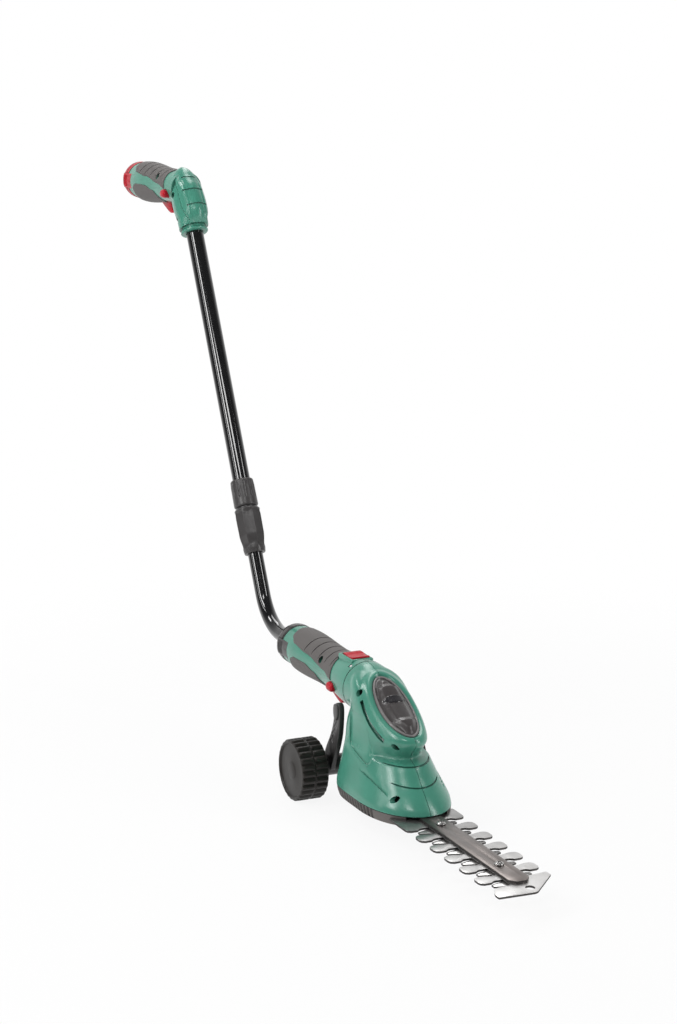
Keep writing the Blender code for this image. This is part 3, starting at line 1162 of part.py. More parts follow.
def build():
    handle_frame = frame("handle_frame", (0, 0, 0))
    pole_frame = frame("pole_frame", (HAND_TO_POLE, 0, 0), (0, -POLE_LEAN, 0), handle_frame)
    corner_x = HAND_TO_POLE + POLE_TO_CORNER * math.sin(POLE_LEAN)
    corner_z = -POLE_TO_CORNER * math.cos(POLE_LEAN)
    seam_x = corner_x + CORNER_TO_PLUG + CAP_LENGTH + TRIMMER_GRIP_LENGTH
    trimmer_frame = frame("trimmer_frame", (seam_x, 0, corner_z))
    head_frame = frame("head_frame", (0, 0, 0), parent=trimmer_frame)

    handle_body = upper_handle(handle_frame, pole_frame)
    battery(handle_frame, handle_body)
    split_shells("handle", handle_body, handle_frame)
    pole(handle_frame, pole_frame)
    grip_body = trimmer_grip(trimmer_frame)
    pole_plug(trimmer_frame, grip_body)
    split_shells("grip", grip_body, trimmer_frame)
    head(head_frame)
    base_plate(head_frame)
    gear_train(head_frame)
    blades(head_frame)
    wheel_carriage(head_frame)


build()
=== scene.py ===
import json
import math

import bmesh
import bpy
from mathutils import Matrix, Vector
from mathutils.bvhtree import BVHTree


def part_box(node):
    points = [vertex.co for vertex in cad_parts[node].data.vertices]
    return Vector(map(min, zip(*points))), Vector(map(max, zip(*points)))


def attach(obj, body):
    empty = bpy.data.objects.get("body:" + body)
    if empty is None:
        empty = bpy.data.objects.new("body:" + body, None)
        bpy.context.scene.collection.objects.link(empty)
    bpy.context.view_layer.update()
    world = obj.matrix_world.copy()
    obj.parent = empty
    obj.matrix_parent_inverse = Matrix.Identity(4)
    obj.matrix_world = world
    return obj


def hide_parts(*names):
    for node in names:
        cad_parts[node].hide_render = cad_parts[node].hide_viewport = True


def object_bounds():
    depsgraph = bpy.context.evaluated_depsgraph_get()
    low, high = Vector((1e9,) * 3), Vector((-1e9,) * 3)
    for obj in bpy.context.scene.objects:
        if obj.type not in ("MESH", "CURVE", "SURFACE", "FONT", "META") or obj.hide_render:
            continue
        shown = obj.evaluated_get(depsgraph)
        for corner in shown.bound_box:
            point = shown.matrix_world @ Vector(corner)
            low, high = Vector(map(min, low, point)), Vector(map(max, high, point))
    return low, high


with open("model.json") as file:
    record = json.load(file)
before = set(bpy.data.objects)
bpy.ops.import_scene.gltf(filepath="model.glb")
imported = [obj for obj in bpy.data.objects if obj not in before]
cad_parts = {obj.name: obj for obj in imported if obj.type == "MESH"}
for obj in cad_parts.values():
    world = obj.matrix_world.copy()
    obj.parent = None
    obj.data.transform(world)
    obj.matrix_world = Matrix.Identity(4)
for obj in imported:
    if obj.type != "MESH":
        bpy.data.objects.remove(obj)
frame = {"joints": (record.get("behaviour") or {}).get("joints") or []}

cad_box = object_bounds()
joints = {joint["name"]: joint for joint in frame["joints"]}

# Studio
# The tool stands on its wheels on a pale floor. Soft lights stand tall and high at the camera's left, above
# it, tall at its right and broad behind the tool. The backdrop is white, and the room that polished pieces
# mirror dims toward the camera, which keeps the black ones deep.
scene = bpy.context.scene
scene.view_settings.view_transform = "Standard"
TURN, TILT, ROLL = (math.radians(angle) for angle in (64.29, 12.63, 0.754))
level = Vector((math.cos(TURN), math.sin(TURN), 0))
rise = Vector((-math.sin(TURN) * math.sin(TILT), math.cos(TURN) * math.sin(TILT), math.cos(TILT)))
right = math.cos(ROLL) * level + math.sin(ROLL) * rise
up = math.cos(ROLL) * rise - math.sin(ROLL) * level
view = right.cross(up)
camera = bpy.data.objects.new("camera", bpy.data.cameras.new("camera"))
camera.data.sensor_fit = "VERTICAL"
camera.data.sensor_height = 36
camera.data.lens = 77.34
camera.matrix_world = Matrix((right, up, view)).transposed().to_4x4()
camera.location = (2.361, -0.907, 0.185)
scene.collection.objects.link(camera)
scene.camera = camera

middle = (cad_box[0] + cad_box[1]) / 2
WHITE, PAPER = (1, 1, 1, 1), (0.9, 0.9, 0.9, 1)
AMBIENT, ROOM_AT_CAMERA = 0.22, 0.06
FLOOR_RADIUS, FLOOR_GAP = 2.5, 0.0004
FADE_AHEAD, FADE_FROM, FADE_TO, LEAST_GLOW = 0.2, 0.35, 1.0, 0.9


def studio_light(name, bearing, height, distance, size, watts):
    """A soft light that faces the tool, at a bearing from the camera, positive to its left."""
    lamp = bpy.data.lights.new(name, "AREA")
    lamp.shape = "RECTANGLE"
    lamp.size, lamp.size_y = size
    lamp.energy = watts
    made = bpy.data.objects.new(name, lamp)
    toward = Vector((view.x, view.y, 0)).normalized()
    toward.rotate(Matrix.Rotation(-math.radians(bearing), 3, "Z"))
    made.location = middle + toward * distance + Vector((0, 0, height))
    made.rotation_euler = (made.location - middle).to_track_quat("Z", "Y").to_euler()
    scene.collection.objects.link(made)


studio_light("left_softbox", 52, 1.0, 1.6, (0.28, 1.1), 13)
studio_light("left_edge", 72, 0.7, 1.7, (0.13, 1.7), 5)
studio_light("front_top", 10, 1.5, 1.6, (0.6, 0.3), 6)
studio_light("left_top", 105, 1.3, 1.15, (0.4, 0.4), 6)
studio_light("right_strip", -66, 0.5, 1.7, (0.26, 1.6), 12)
studio_light("overhead", 178, 1.5, 1.05, (0.5, 1.4), 10)



def feed(tree, made, inputs):
    """Set a node's inputs, each to a value, a socket or another node's first output."""
    for name, value in inputs.items():
        if isinstance(value, bpy.types.Node):
            value = value.outputs[0]
        if isinstance(value, bpy.types.NodeSocket):
            tree.links.new(value, made.inputs[name])
        else:
            made.inputs[name].default_value = value


def node(tree, kind, inputs=None, **settings):
    """Add a shader node with its settings and inputs."""
    made = tree.nodes.new("ShaderNode" + kind)
    for name, value in settings.items():
        setattr(made, name, value)
    feed(tree, made, inputs or {})
    return made


scene.world = bpy.data.worlds.new("surround")
scene.world.use_nodes = True
tree = scene.world.node_tree
tree.nodes.clear()
rays = node(tree, "LightPath").outputs
seen = node(tree, "Math", {0: rays["Is Camera Ray"], 1: rays["Is Glossy Ray"]}, operation="MAXIMUM")
either = node(tree, "Math", {0: seen, 1: rays["Is Transmission Ray"]}, operation="MAXIMUM")
facing = node(tree, "VectorMath", {0: node(tree, "TexCoord").outputs["Generated"], 1: -view},
              operation="DOT_PRODUCT")
room = node(tree, "MapRange", {"Value": facing.outputs["Value"], "From Min": -0.2, "From Max": 0.9,
                               "To Min": ROOM_AT_CAMERA}, interpolation_type="SMOOTHSTEP")
lit_room = node(tree, "Math", {0: room, 1: rays["Is Camera Ray"]}, operation="MAXIMUM")
ambient = node(tree, "Background", {"Color": WHITE, "Strength": AMBIENT})
white = node(tree, "Background", {"Color": WHITE, "Strength": lit_room})
surround = node(tree, "MixShader", {"Fac": either, 1: ambient, 2: white})
node(tree, "OutputWorld", {"Surface": surround})

sheet = bmesh.new()
bmesh.ops.create_circle(sheet, cap_ends=True, segments=96, radius=FLOOR_RADIUS)
bmesh.ops.translate(sheet, verts=sheet.verts, vec=(middle.x, middle.y, cad_box[0].z - FLOOR_GAP))
floor = bpy.data.objects.new("studio_floor", bpy.data.meshes.new("studio_floor"))
sheet.to_mesh(floor.data)
sheet.free()
scene.collection.objects.link(floor)
paper = bpy.data.materials.new("studio_paper")
paper.use_nodes = True
tree = paper.node_tree
tree.nodes.clear()
rays = node(tree, "LightPath").outputs
centre = (middle.x + FADE_AHEAD, middle.y, cad_box[0].z)
centred = node(tree, "VectorMath", {0: node(tree, "TexCoord").outputs["Object"], 1: centre},
               operation="DISTANCE")
fade = node(tree, "MapRange", {"Value": centred.outputs["Value"], "From Min": FADE_FROM, "From Max": FADE_TO,
                               "To Min": LEAST_GLOW}, interpolation_type="SMOOTHSTEP")
lit = node(tree, "BsdfDiffuse", {"Color": PAPER})
glow = node(tree, "Emission", {"Strength": 1.0})
clear = node(tree, "BsdfTransparent")
backdrop = node(tree, "MixShader", {"Fac": rays["Is Camera Ray"], 1: glow, 2: clear})
shade = node(tree, "MixShader", {"Fac": fade, 1: lit, 2: backdrop})
either = node(tree, "Math", {0: rays["Is Camera Ray"], 1: rays["Is Glossy Ray"]}, operation="MAXIMUM")
pale = node(tree, "MixShader", {"Fac": either, 1: lit, 2: shade})
# What is drawn out through the floor is still lit and seen
beneath = node(tree, "Math", {0: rays["Is Shadow Ray"], 1: node(tree, "NewGeometry").outputs["Backfacing"]},
               operation="MULTIPLY")
let_through = node(tree, "MixShader", {"Fac": beneath, 1: pale, 2: clear})
node(tree, "OutputMaterial", {"Surface": let_through})
floor.data.materials.append(paper)

# Upper handle housing
# Two green mouldings, a stick grip that runs into a pod round the top of the pole, meet on the
# middle plane and are screwed together from the right. The battery bay is open at the rear.
MM = Matrix.Scale(0.001, 4)
swivel = Vector(joints["head_swivel"]["pos_m"])
down_pole = Vector(joints["pole_slide"]["axis"])
clamp_at = Vector(joints["clamp_twist"]["pos_m"])
pole_top = clamp_at - down_pole * (clamp_at.z / down_pole.z)
lean = math.atan2(down_pole.x, -down_pole.z)
HANDLE = MM
POLE = Matrix.Translation(pole_top) @ Matrix.Rotation(-lean, 4, "Y") @ MM
TRIMMER = Matrix.Translation(swivel) @ MM
SEAM = 0.2
HANDLE_REAR = 1000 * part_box("handle_shell_left")[0].x
BAY_RADIUS, BAY_DEPTH = 17.0, 68.0
TRIGGER_FROM_REAR, TRIGGER_Z, BUTTON_FROM_REAR, BUTTON_Z = 75.0, -13.5, 116.0, -6.5
SCREW_FROM_REAR, SCREW_Z, SCREW_SEAT = 88.5, 10.5, 12.5
GRIP_END, GRIP_BELLY, BELLY_AT, WAIST_AT = 20.6, 21.8, 30.0, 88.0
HANDLE_GRIP = ((0, GRIP_END), (BELLY_AT, GRIP_BELLY), (WAIST_AT, 18.3), (135, 18.0))
# Pod levels on the pole axis: height, forward offset, half depth, half width
POD = ((-52.8, 0, 14.3, 14.3), (-51.0, 0, 15.5, 15.2), (-47.5, 0, 17.6, 15.8), (-42.5, 1.5, 19.9, 16.2),
       (-37, 2.4, 22, 16.5), (-31, 2.4, 23.2, 16.9), (-22, 0.8, 24.2, 17.3), (-12, -0.7, 23.5, 17.2),
       (0, -2.5, 21.3, 16.7), (10.6, -4, 16, 15), (16.6, -4.5, 13.4, 12.3), (22.6, -3.9, 8.3, 7.5),
       (26.2, -3.5, 2.5, 2.2))


def ease(share):
    """A soft step from 0 to 1."""
    share = min(1.0, max(0.0, share))
    return share * share * (3 - 2 * share)


def stepped(stations, at):
    """The size at a place, eased from one station to the next."""
    for (start, low), (end, high) in zip(stations, stations[1:]):
        if at <= end:
            return low + (high - low) * ease((at - start) / (end - start))
    return stations[-1][1]


def faired(stations, at):
    """All the sizes at a level, on smooth curves through the stations."""
    at = min(max(at, stations[0][0]), stations[-1][0])
    low = max(i for i in range(len(stations) - 1) if stations[i][0] <= at)
    span = stations[low + 1][0] - stations[low][0]
    t = (at - stations[low][0]) / span
    sizes = []
    for column in range(1, len(stations[0])):
        slopes = []
        for i in (low, low + 1):
            before, after = stations[max(i - 1, 0)], stations[min(i + 1, len(stations) - 1)]
            slopes.append((after[column] - before[column]) / (after[0] - before[0]) * span)
        ends = (stations[low][column] * (2 * t ** 3 - 3 * t ** 2 + 1)
                + stations[low + 1][column] * (3 * t ** 2 - 2 * t ** 3))
        sizes.append(ends + (t ** 3 - 2 * t ** 2 + t) * slopes[0] + (t ** 3 - t ** 2) * slopes[1])
    return sizes


def skin(around, along, place):
    """A closed skin: a grid bent so that its shares u and v, from 0 to 1, land where place says."""
    mesh = bmesh.new()
    bmesh.ops.create_grid(mesh, x_segments=around, y_segments=along, size=0.5)
    for vert in mesh.verts:
        vert.co = place(vert.co.x + 0.5, vert.co.y + 0.5)
    bmesh.ops.remove_doubles(mesh, verts=mesh.verts, dist=0.0005)
    bmesh.ops.holes_fill(mesh, edges=[edge for edge in mesh.edges if edge.is_boundary], sides=0)
    bmesh.ops.recalc_face_normals(mesh, faces=mesh.faces)
    return mesh


def bevelled(mesh, edges, offset, segments, clamp=False):
    """Round off or chamfer edges of a mesh."""
    bmesh.ops.bevel(mesh, geom=edges, offset=offset, segments=segments, profile=0.5, material=-1,
                    affect="EDGES", clamp_overlap=clamp)


def block(low, high, rounding=0.0):
    """A box between two corners, with its edges rounded."""
    low, high = Vector(low), Vector(high)
    mesh = bmesh.new()
    bmesh.ops.create_cube(mesh, size=1.0)
    bmesh.ops.scale(mesh, vec=high - low, verts=mesh.verts)
    bmesh.ops.translate(mesh, vec=(low + high) / 2, verts=mesh.verts)
    if rounding:
        bevelled(mesh, mesh.edges, rounding, 4)
    return mesh


def rod(start, end, radius, far_radius=None, sides=48):
    """A round bar or cone between two points."""
    start, end = Vector(start), Vector(end)
    mesh = bmesh.new()
    far_radius = radius if far_radius is None else far_radius
    bmesh.ops.create_cone(mesh, cap_ends=True, segments=sides, radius1=radius, radius2=far_radius,
                          depth=(end - start).length)
    turn = (end - start).to_track_quat("Z", "Y").to_matrix().to_4x4()
    bmesh.ops.transform(mesh, matrix=Matrix.Translation((start + end) / 2) @ turn, verts=mesh.verts)
    return mesh


def plate(outline, low, high, rounding=0.0, axis="Y"):
    """A flat outline pulled from one level to another along Y or Z, with its rims rounded."""
    mesh = bmesh.new()
    corners = [mesh.verts.new((a, low, b) if axis == "Y" else (a, b, low)) for a, b in outline]
    face = mesh.faces.new(corners)
    pulled = bmesh.ops.extrude_face_region(mesh, geom=[face])
    far = [item for item in pulled["geom"] if isinstance(item, bmesh.types.BMVert)]
    bmesh.ops.translate(mesh, verts=far, vec=(0, high - low, 0) if axis == "Y" else (0, 0, high - low))
    bmesh.ops.recalc_face_normals(mesh, faces=mesh.faces)
    if rounding:
        flat = Vector((0, 1, 0)) if axis == "Y" else Vector((0, 0, 1))
        rims = [edge for edge in mesh.edges
                if any(abs(face.normal.dot(flat)) > 0.99 for face in edge.link_faces)]
        bevelled(mesh, rims, rounding, 3)
    return mesh


def worked(mesh, kind, tool=None, **settings):
    """Run one modifier on a mesh, with another mesh as its tool, and give back the result."""
    blanks = []
    for shape in (mesh, tool) if tool else (mesh,):
        data = bpy.data.meshes.new("blank")
        shape.to_mesh(data)
        shape.free()
        blanks.append(bpy.data.objects.new("blank", data))
        scene.collection.objects.link(blanks[-1])
    change = blanks[0].modifiers.new("change", kind)
    if tool:
        change.object = blanks[1]
    for name, value in settings.items():
        setattr(change, name, value)
    done = bmesh.new()
    done.from_object(blanks[0], bpy.context.evaluated_depsgraph_get())
    for blank in blanks:
        bpy.data.meshes.remove(blank.data)
    return done


def cut(mesh, *tools):
    """Take closed tools away from a mesh."""
    for tool in tools:
        mesh = worked(mesh, "BOOLEAN", tool, solver="MANIFOLD", operation="DIFFERENCE")
    return mesh


def joined(mesh, *others):
    """Melt closed meshes into one."""
    for other in others:
        mesh = worked(mesh, "BOOLEAN", other, solver="MANIFOLD", operation="UNION")
    return mesh


def moved(mesh, place):
    """Move a mesh by a matrix and give it back."""
    bmesh.ops.transform(mesh, matrix=place, verts=mesh.verts)
    return mesh


def sunk_line(surface, path, radius, sink, taper=False):
    """A round-bottomed tool that follows a path laid on a surface, thinning to its ends on request."""
    curve = bpy.data.curves.new("line", "CURVE")
    curve.dimensions = "3D"
    curve.bevel_depth = radius
    curve.bevel_resolution = 3
    curve.use_fill_caps = True
    spline = curve.splines.new("POLY")
    steps = 8
    points = [Vector(point) for point in path]
    dense = []
    for i in range(len(points) - 1):
        before, after = points[max(i - 1, 0)], points[min(i + 2, len(points) - 1)]
        start, end = points[i], points[i + 1]
        for k in range(steps + (i == len(points) - 2)):
            t = k / steps
            bend = (2 * start + (end - before) * t + (2 * before - 5 * start + 4 * end - after) * t ** 2
                    + (3 * start - before - 3 * end + after) * t ** 3)
            dense.append(bend / 2)
    spline.points.add(len(dense) - 1)
    for i, (spot, point) in enumerate(zip(spline.points, dense)):
        found, normal, _, _ = surface.find_nearest(point)
        spot.co = (*(found - normal * sink), 1)
        share = i / (len(dense) - 1)
        spot.radius = min(1.0, 0.25 + 5 * min(share, 1 - share)) if taper else 1.0
    holder = bpy.data.objects.new("line", curve)
    scene.collection.objects.link(holder)
    laid = bpy.data.meshes.new_from_object(holder.evaluated_get(bpy.context.evaluated_depsgraph_get()))
    tube = bmesh.new()
    tube.from_mesh(laid)
    bpy.data.curves.remove(curve)
    bpy.data.meshes.remove(laid)
    bmesh.ops.remove_doubles(tube, verts=tube.verts, dist=0.0005)
    bmesh.ops.recalc_face_normals(tube, faces=tube.faces)
    return tube


def halves(mesh, seam=SEAM):
    """Split a housing on its middle plane into a left and a right moulding with softened seam edges."""
    size = 400
    for side, low, high in (("left", seam, size), ("right", -size, -seam)):
        half = worked(mesh.copy(), "BOOLEAN", block((-size, low, -size), (size, high, size)),
                      solver="MANIFOLD", operation="INTERSECT")
        rim = [edge for edge in half.edges if all(abs(abs(vert.co.y) - seam) < 1e-3 for vert in edge.verts)
               and len(edge.link_faces) == 2 and edge.calc_face_angle(0) > 0.6]
        bevelled(half, rim, 0.5 * seam, 1, clamp=True)
        yield side, half
    mesh.free()


def piece(name, mesh, place, material, body, nodes, crease=32):
    """Put a finished mesh in its place, give it its finish and hang it on its body."""
    bmesh.ops.transform(mesh, matrix=place, verts=mesh.verts)
    bmesh.ops.remove_doubles(mesh, verts=mesh.verts, dist=1e-7)
    data = bpy.data.meshes.new(name)
    mesh.to_mesh(data)
    mesh.free()
    data.materials.append(material)
    data.shade_smooth()
    data.set_sharp_from_angle(angle=math.radians(crease))
    made = bpy.data.objects.new(name, data)
    scene.collection.objects.link(made)
    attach(made, body)
    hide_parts(*nodes)
    return made


def new_finish(name):
    """A new material, with its node tree and its main shader."""
    made = bpy.data.materials.new(name)
    made.use_nodes = True
    return made, made.node_tree, made.node_tree.nodes["Principled BSDF"]


def ramp(tree, share, low, high, ends=(0.0, 1.0)):
    """A blend from one colour to another between two shares."""
    made = node(tree, "ValToRGB", {"Fac": share})
    for stop, at, colour in zip(made.color_ramp.elements, ends, (low, high)):
        stop.position, stop.color = at, (*colour, 1)
    return made


def moulded(name, colour, roughness, grain=0.25, mottle=0.06, specular=0.5):
    """Moulded plastic: a fine spark-eroded grain, slight mottling, painted highlights on edges, painted shade
    in hollows.
    """
    made, tree, shader = new_finish(name)
    where = node(tree, "TexCoord").outputs["Object"]
    cloud = node(tree, "TexNoise", {"Vector": where, "Scale": 45, "Detail": 4})
    dull, fresh = ([c * (1 + change) for c in colour] for change in (-mottle, mottle))
    tint = ramp(tree, cloud, dull, fresh, (0.3, 0.7))
    # Convex edges are painted paler than the plastic: a painted highlight.
    edge = node(tree, "NewGeometry").outputs["Pointiness"]
    painted_edge_highlight = node(tree, "MapRange", {"Value": edge, "From Min": 0.53, "From Max": 0.66, "To Max": 0.6})
    edge_highlight_colour = (*(min(1, c * 1.7 + 0.04) for c in colour), 1)
    edge_highlighted = node(tree, "Mix", {"Factor": painted_edge_highlight, "A": tint, "B": edge_highlight_colour}, data_type="RGBA")
    # Hollows, creases and corners are painted darker by ambient occlusion: painted shade.
    hollow = node(tree, "AmbientOcclusion", {"Distance": 0.018}, samples=8).outputs["AO"]
    painted_shade = node(tree, "MapRange", {"Value": hollow, "From Min": 0.3, "From Max": 0.85, "To Min": 0.28})
    shade_painted_colour = node(tree, "VectorMath", {"Vector": edge_highlighted.outputs["Result"], "Scale": painted_shade}, operation="SCALE")
    sand = node(tree, "TexNoise", {"Vector": where, "Scale": 1600, "Detail": 2})
    bump = node(tree, "Bump", {"Strength": grain, "Distance": 0.0001, "Height": sand})
    gloss = node(tree, "MapRange", {"Value": cloud, "To Min": roughness - 0.05, "To Max": roughness + 0.05})
    feed(tree, shader, {"Specular IOR Level": specular, "Base Color": shade_painted_colour, "Normal": bump,
                        "Roughness": gloss})
    return made


def grip_skin(rear, stations, start=0.0):
    """A round grip of varying radius with a rounded rear rim."""
    length, fillet = stations[-1][0], 1.0

    def place(u, v):
        x = start + (length - start) * v
        radius = stepped(stations, x)
        if x < start + fillet:
            radius -= fillet - math.sqrt(max(0.0, fillet ** 2 - (fillet + start - x) ** 2))
        angle = 2 * math.pi * u
        return rear + x, radius * math.sin(angle), radius * math.cos(angle)
    return skin(144, int(length * 1.5), place)


# A ridge runs down each side of the pod's front, from a crease behind it to the strap, which lies lower.
# Crease levels from the foot up: height on the pole axis, turn from the front
CREASE = ((-53, 20), (-50, 26), (-46.5, 32), (-37, 42.5), (-28.5, 52), (-14.9, 58), (-4.5, 62), (6.3, 70),
          (27, 85))
STRAP_HALF, STRAP_DEPTH, CREASE_DEPTH, CREASE_FADE = 10.3, 1.1, 2.2, 11.0


def pod_point(u, v, relief=True):
    """The pod round the pole's top, on the pole axis."""
    z = POD[0][0] + (POD[-1][0] - POD[0][0]) * v
    forward, depth, width = faired(POD, z)
    angle = 2 * math.pi * u
    x, y = forward + depth * math.cos(angle), width * math.sin(angle)
    if not relief or x < -12:
        return x, y, z
    turn = faired(CREASE, z)[0]
    behind = math.radians(math.degrees(math.atan2(abs(y), x)) - turn) * 17
    sunk = CREASE_DEPTH * ease((behind + 0.8) / 1.8) * (1 - ease(behind / CREASE_FADE))
    strap = min(STRAP_HALF, 17 * math.radians(turn) - 2.5)
    sunk += STRAP_DEPTH * ease((strap - abs(y)) / 2.0) * ease((11 - z) / 9) * ease((x - 2) / 5)
    sunk *= ease((18 - z) / 12)
    out = Vector((math.cos(angle) / depth, math.sin(angle) / width)).normalized()
    return x - out.x * sunk, y - out.y * sunk, z


def drain_slots(surface, x, turns=(126, 234), steps=(-13, -5, 5, 13), radius=1.1, sink=0.9):
    """Short slots round a grip or the plug, each at a turn from its top."""
    for turn in turns:
        arc = [math.radians(turn + step) for step in steps]
        yield sunk_line(surface, [(x, 21 * math.sin(a), 21 * math.cos(a)) for a in arc], radius, sink)


def screw_holes(places, outer=60, radius=3.2):
    """Round recesses from the right side down to each screw's seat, and the shank's clearance."""
    for x, z, seat in places:
        yield rod((x, -outer, z), (x, -seat, z), radius, sides=32)
        yield rod((x, -seat - 1, z), (x, -SEAM - 0.1, z), 1.7, sides=24)


to_handle = HANDLE.inverted() @ POLE
housing = joined(grip_skin(HANDLE_REAR, HANDLE_GRIP, 3.0), moved(skin(320, 240, pod_point), to_handle))
COLLAR_TOP, COLLAR_FOOT = -46.5, -52.8
# Collar levels on the pole axis: height, half depth, half width
FOOT_COLLAR = ((-52.8, 14.6, 13.9), (-52.2, 15.6, 14.7), (-51, 15.8, 14.9), (-49, 14.6, 13.5),
               (-43, 14.4, 13.3))
# Three finger grooves cross the strap, and a narrower collar closes the foot
GROOVES = (((11.0, -8.5, 9.0), (13.5, 0, 8.6), (11.0, 8.5, 9.0)),
           ((15.5, -11.5, -9.0), (20.9, -5, -8.3), (21.8, 0, -8.3), (20.9, 5, -8.3), (15.5, 11.5, -9.0)),
           ((19.5, -11.5, -27.8), (24.4, -5, -27.2), (25.5, 0, -27.2), (24.4, 5, -27.2), (19.5, 11.5, -27.8)))
surface = BVHTree.FromBMesh(housing)
lines = []
for side in (-1, 1):
    path = []
    for z in (6, -2, -10, -18, -26, -34, -42, -48):
        turn = side * math.radians(faired(CREASE, z)[0] + 2)
        path.append(to_handle @ Vector((24 * math.cos(turn), 24 * math.sin(turn), z)))
    lines.append(sunk_line(surface, path, 0.9, 0.3, taper=True))
for groove in GROOVES:
    lines.append(sunk_line(surface, [to_handle @ Vector(point) for point in groove], 1.0, 0.35))


def collar_ring(u, v):
    """The collar round the pole at the pod's foot."""
    z = COLLAR_FOOT + (COLLAR_TOP + 3 - COLLAR_FOOT) * v
    depth, width = faired(FOOT_COLLAR, z)
    angle = 2 * math.pi * u
    return depth * math.cos(angle), width * math.sin(angle), z


foot = moved(block((-60, -60, -90), (60, 60, COLLAR_TOP)), to_handle)
housing = joined(cut(housing, foot), moved(skin(128, 24, collar_ring), to_handle))
pole_bore = rod(to_handle @ Vector((0, 0, -60)), to_handle @ Vector((0, 0, -19.5)), 9.75)


def stadium(x, z, radius, flat, sides=32):
    """An upright oblong with round ends, as points in the XZ plane."""
    points = []
    for i in range(sides):
        angle = 2 * math.pi * (i + 0.5) / sides
        points.append((x + math.copysign(flat, math.cos(angle)) + radius * math.cos(angle),
                       z + radius * math.sin(angle)))
    return points


def trigger_slot(rear, shift, top):
    """The slot in a grip's underside that its trigger swings in."""
    x = rear + TRIGGER_FROM_REAR + shift
    return block((x - 4.9, -5.8, -60), (x + 33.5, 5.8, top))


def grip_openings(rear, shift=0.0):
    """The ways into a grip for its battery, its trigger and its lock button."""
    yield rod((rear - 20, 0, 0), (rear + BAY_DEPTH, 0, 0), BAY_RADIUS, sides=96)
    yield trigger_slot(rear, shift, TRIGGER_Z + 8.5)
    yield plate(stadium(rear + BUTTON_FROM_REAR + shift, BUTTON_Z, 4.9, 2.2), -60, 60)


def shells(prefix, housing, place, body, seam=SEAM):
    """The two green mouldings of one housing."""
    for side, half in halves(housing, seam):
        piece(f"{prefix}_housing_{side}", half, place, green, body, [f"{prefix}_shell_{side}"])


HANDLE_SCREWS = [(HANDLE_REAR + SCREW_FROM_REAR, SCREW_Z, SCREW_SEAT)]
for x, z, seat in ((-12.3, -35, 8.5), (-1.4, -6.7, 11.5)):
    at = to_handle @ Vector((x, 0, z))
    HANDLE_SCREWS.append((at.x, at.z, seat))
low_mouth = [rod(to_handle @ Vector((x, -60, -35)), to_handle @ Vector((x, -10.5, -35)), 3.2, sides=32)
             for x in (-8.5, -5)]
lines.extend(drain_slots(surface, HANDLE_REAR + 12))
housing = cut(housing, *lines, pole_bore, *grip_openings(HANDLE_REAR), *low_mouth,
              *screw_holes(HANDLE_SCREWS))
green = moulded("green_moulding", (0.062, 0.268, 0.192), 0.25, grain=0.1, specular=0.6)
shells("handle", housing, HANDLE, "handle", 0.03)

# Soft grip pads of the upper handle
# Warm grey rubber is moulded over the top and bottom of the grip. It stands a millimetre proud with
# rounded rims, and shallow arcs across the top pad stop the hand from sliding.
PAD_RISE, PAD_RIM, PAD_BED = 1.2, 1.6, 0.05


def soft_pad(rear, stations, start, end, edge, sign, bow):
    """A pad wrapped on a grip: edge gives the height of its rim along X, bow bends its front end."""
    def place(u, v):
        across = 4 * u - 1 if u < 0.5 else 3 - 4 * u
        across = math.sin(across * math.pi / 2)
        along = (1 - math.cos(v * math.pi)) / 2
        front = end - bow * (1 - across ** 2)
        x = start + (front - start) * along
        radius = stepped(stations, x - rear)
        spread = math.acos(max(-0.99, min(0.9999, edge(x) / radius)))
        margin = min(radius * spread * (1 - abs(across)), x - start, front - x)
        lift = PAD_BED
        if u < 0.5 and margin < PAD_RIM:
            lift += (PAD_RISE - PAD_BED) * math.sqrt(max(0.0, 1 - (1 - margin / PAD_RIM) ** 2))
        elif u < 0.5:
            lift = PAD_RISE
        angle = across * spread
        return x, (radius + lift) * math.sin(angle), sign * (radius + lift) * math.cos(angle)
    return skin(192, 160, place)


def rim_heights(points):
    """The height of a pad's rim along X, eased through a few points."""
    return lambda x: stepped(points, max(x, points[0][0]))


def pad_arcs(mesh, spots, reach, radius):
    """Cut arcs across a top pad."""
    surface = BVHTree.FromBMesh(mesh)
    tools = []
    for x in spots:
        path = []
        for share in (-1, -0.75, -0.5, -0.25, 0, 0.25, 0.5, 0.75, 1):
            angle = share * math.radians(reach)
            back = 5 * max(0.0, abs(share) - 0.5) ** 2
            path.append((x - back, radius * math.sin(angle), radius * math.cos(angle)))
        tools.append(sunk_line(surface, path, 0.9, 0.2, taper=True))
    return cut(mesh, *tools)


grey_rubber = moulded("grey_soft_grip", (0.128, 0.119, 0.115), 0.62, grain=0.5, mottle=0.05, specular=0.35)
ARC_PITCH, ARC_COUNT = 15.0, 5


def grip_pads(prefix, rear, stations, shift, place, body, first_arc, room):
    """The top and bottom pads of one grip, cut back round what room makes, the trigger and the screw."""
    start, end = rear + 12, rear + 113 + shift
    top_rim = rim_heights(((start, 20.5), (start + 7, 14.5), (start + 16, 11.3), (start + 45, 8.5),
                           (end - 20, 3.0), (end, -1)))
    top = soft_pad(rear, stations, start, end, top_rim, 1, 4)
    top = pad_arcs(top, [first_arc + ARC_PITCH * i for i in range(ARC_COUNT)], 62, 23)
    start, end = rear + 20, rear + 90
    low_rim = rim_heights(((start, 18), (start + 5, 4), (start + 12, 1.2), (end - 34, 1.0), (end - 14, 5.5),
                           (end, 16)))
    low = soft_pad(rear, stations, start, end, low_rim, -1, 0)
    screw_x = rear + SCREW_FROM_REAR
    for name, mesh in (("top_pad", top), ("bottom_pad", low)):
        mesh = cut(mesh, room(), trigger_slot(rear, shift, 0),
                   rod((screw_x, -60, SCREW_Z), (screw_x, -6, SCREW_Z), 3.6, sides=32))
        piece(f"{prefix}_soft_{name}", mesh, place, grey_rubber, body, [f"{prefix}_{name}"],
              40)


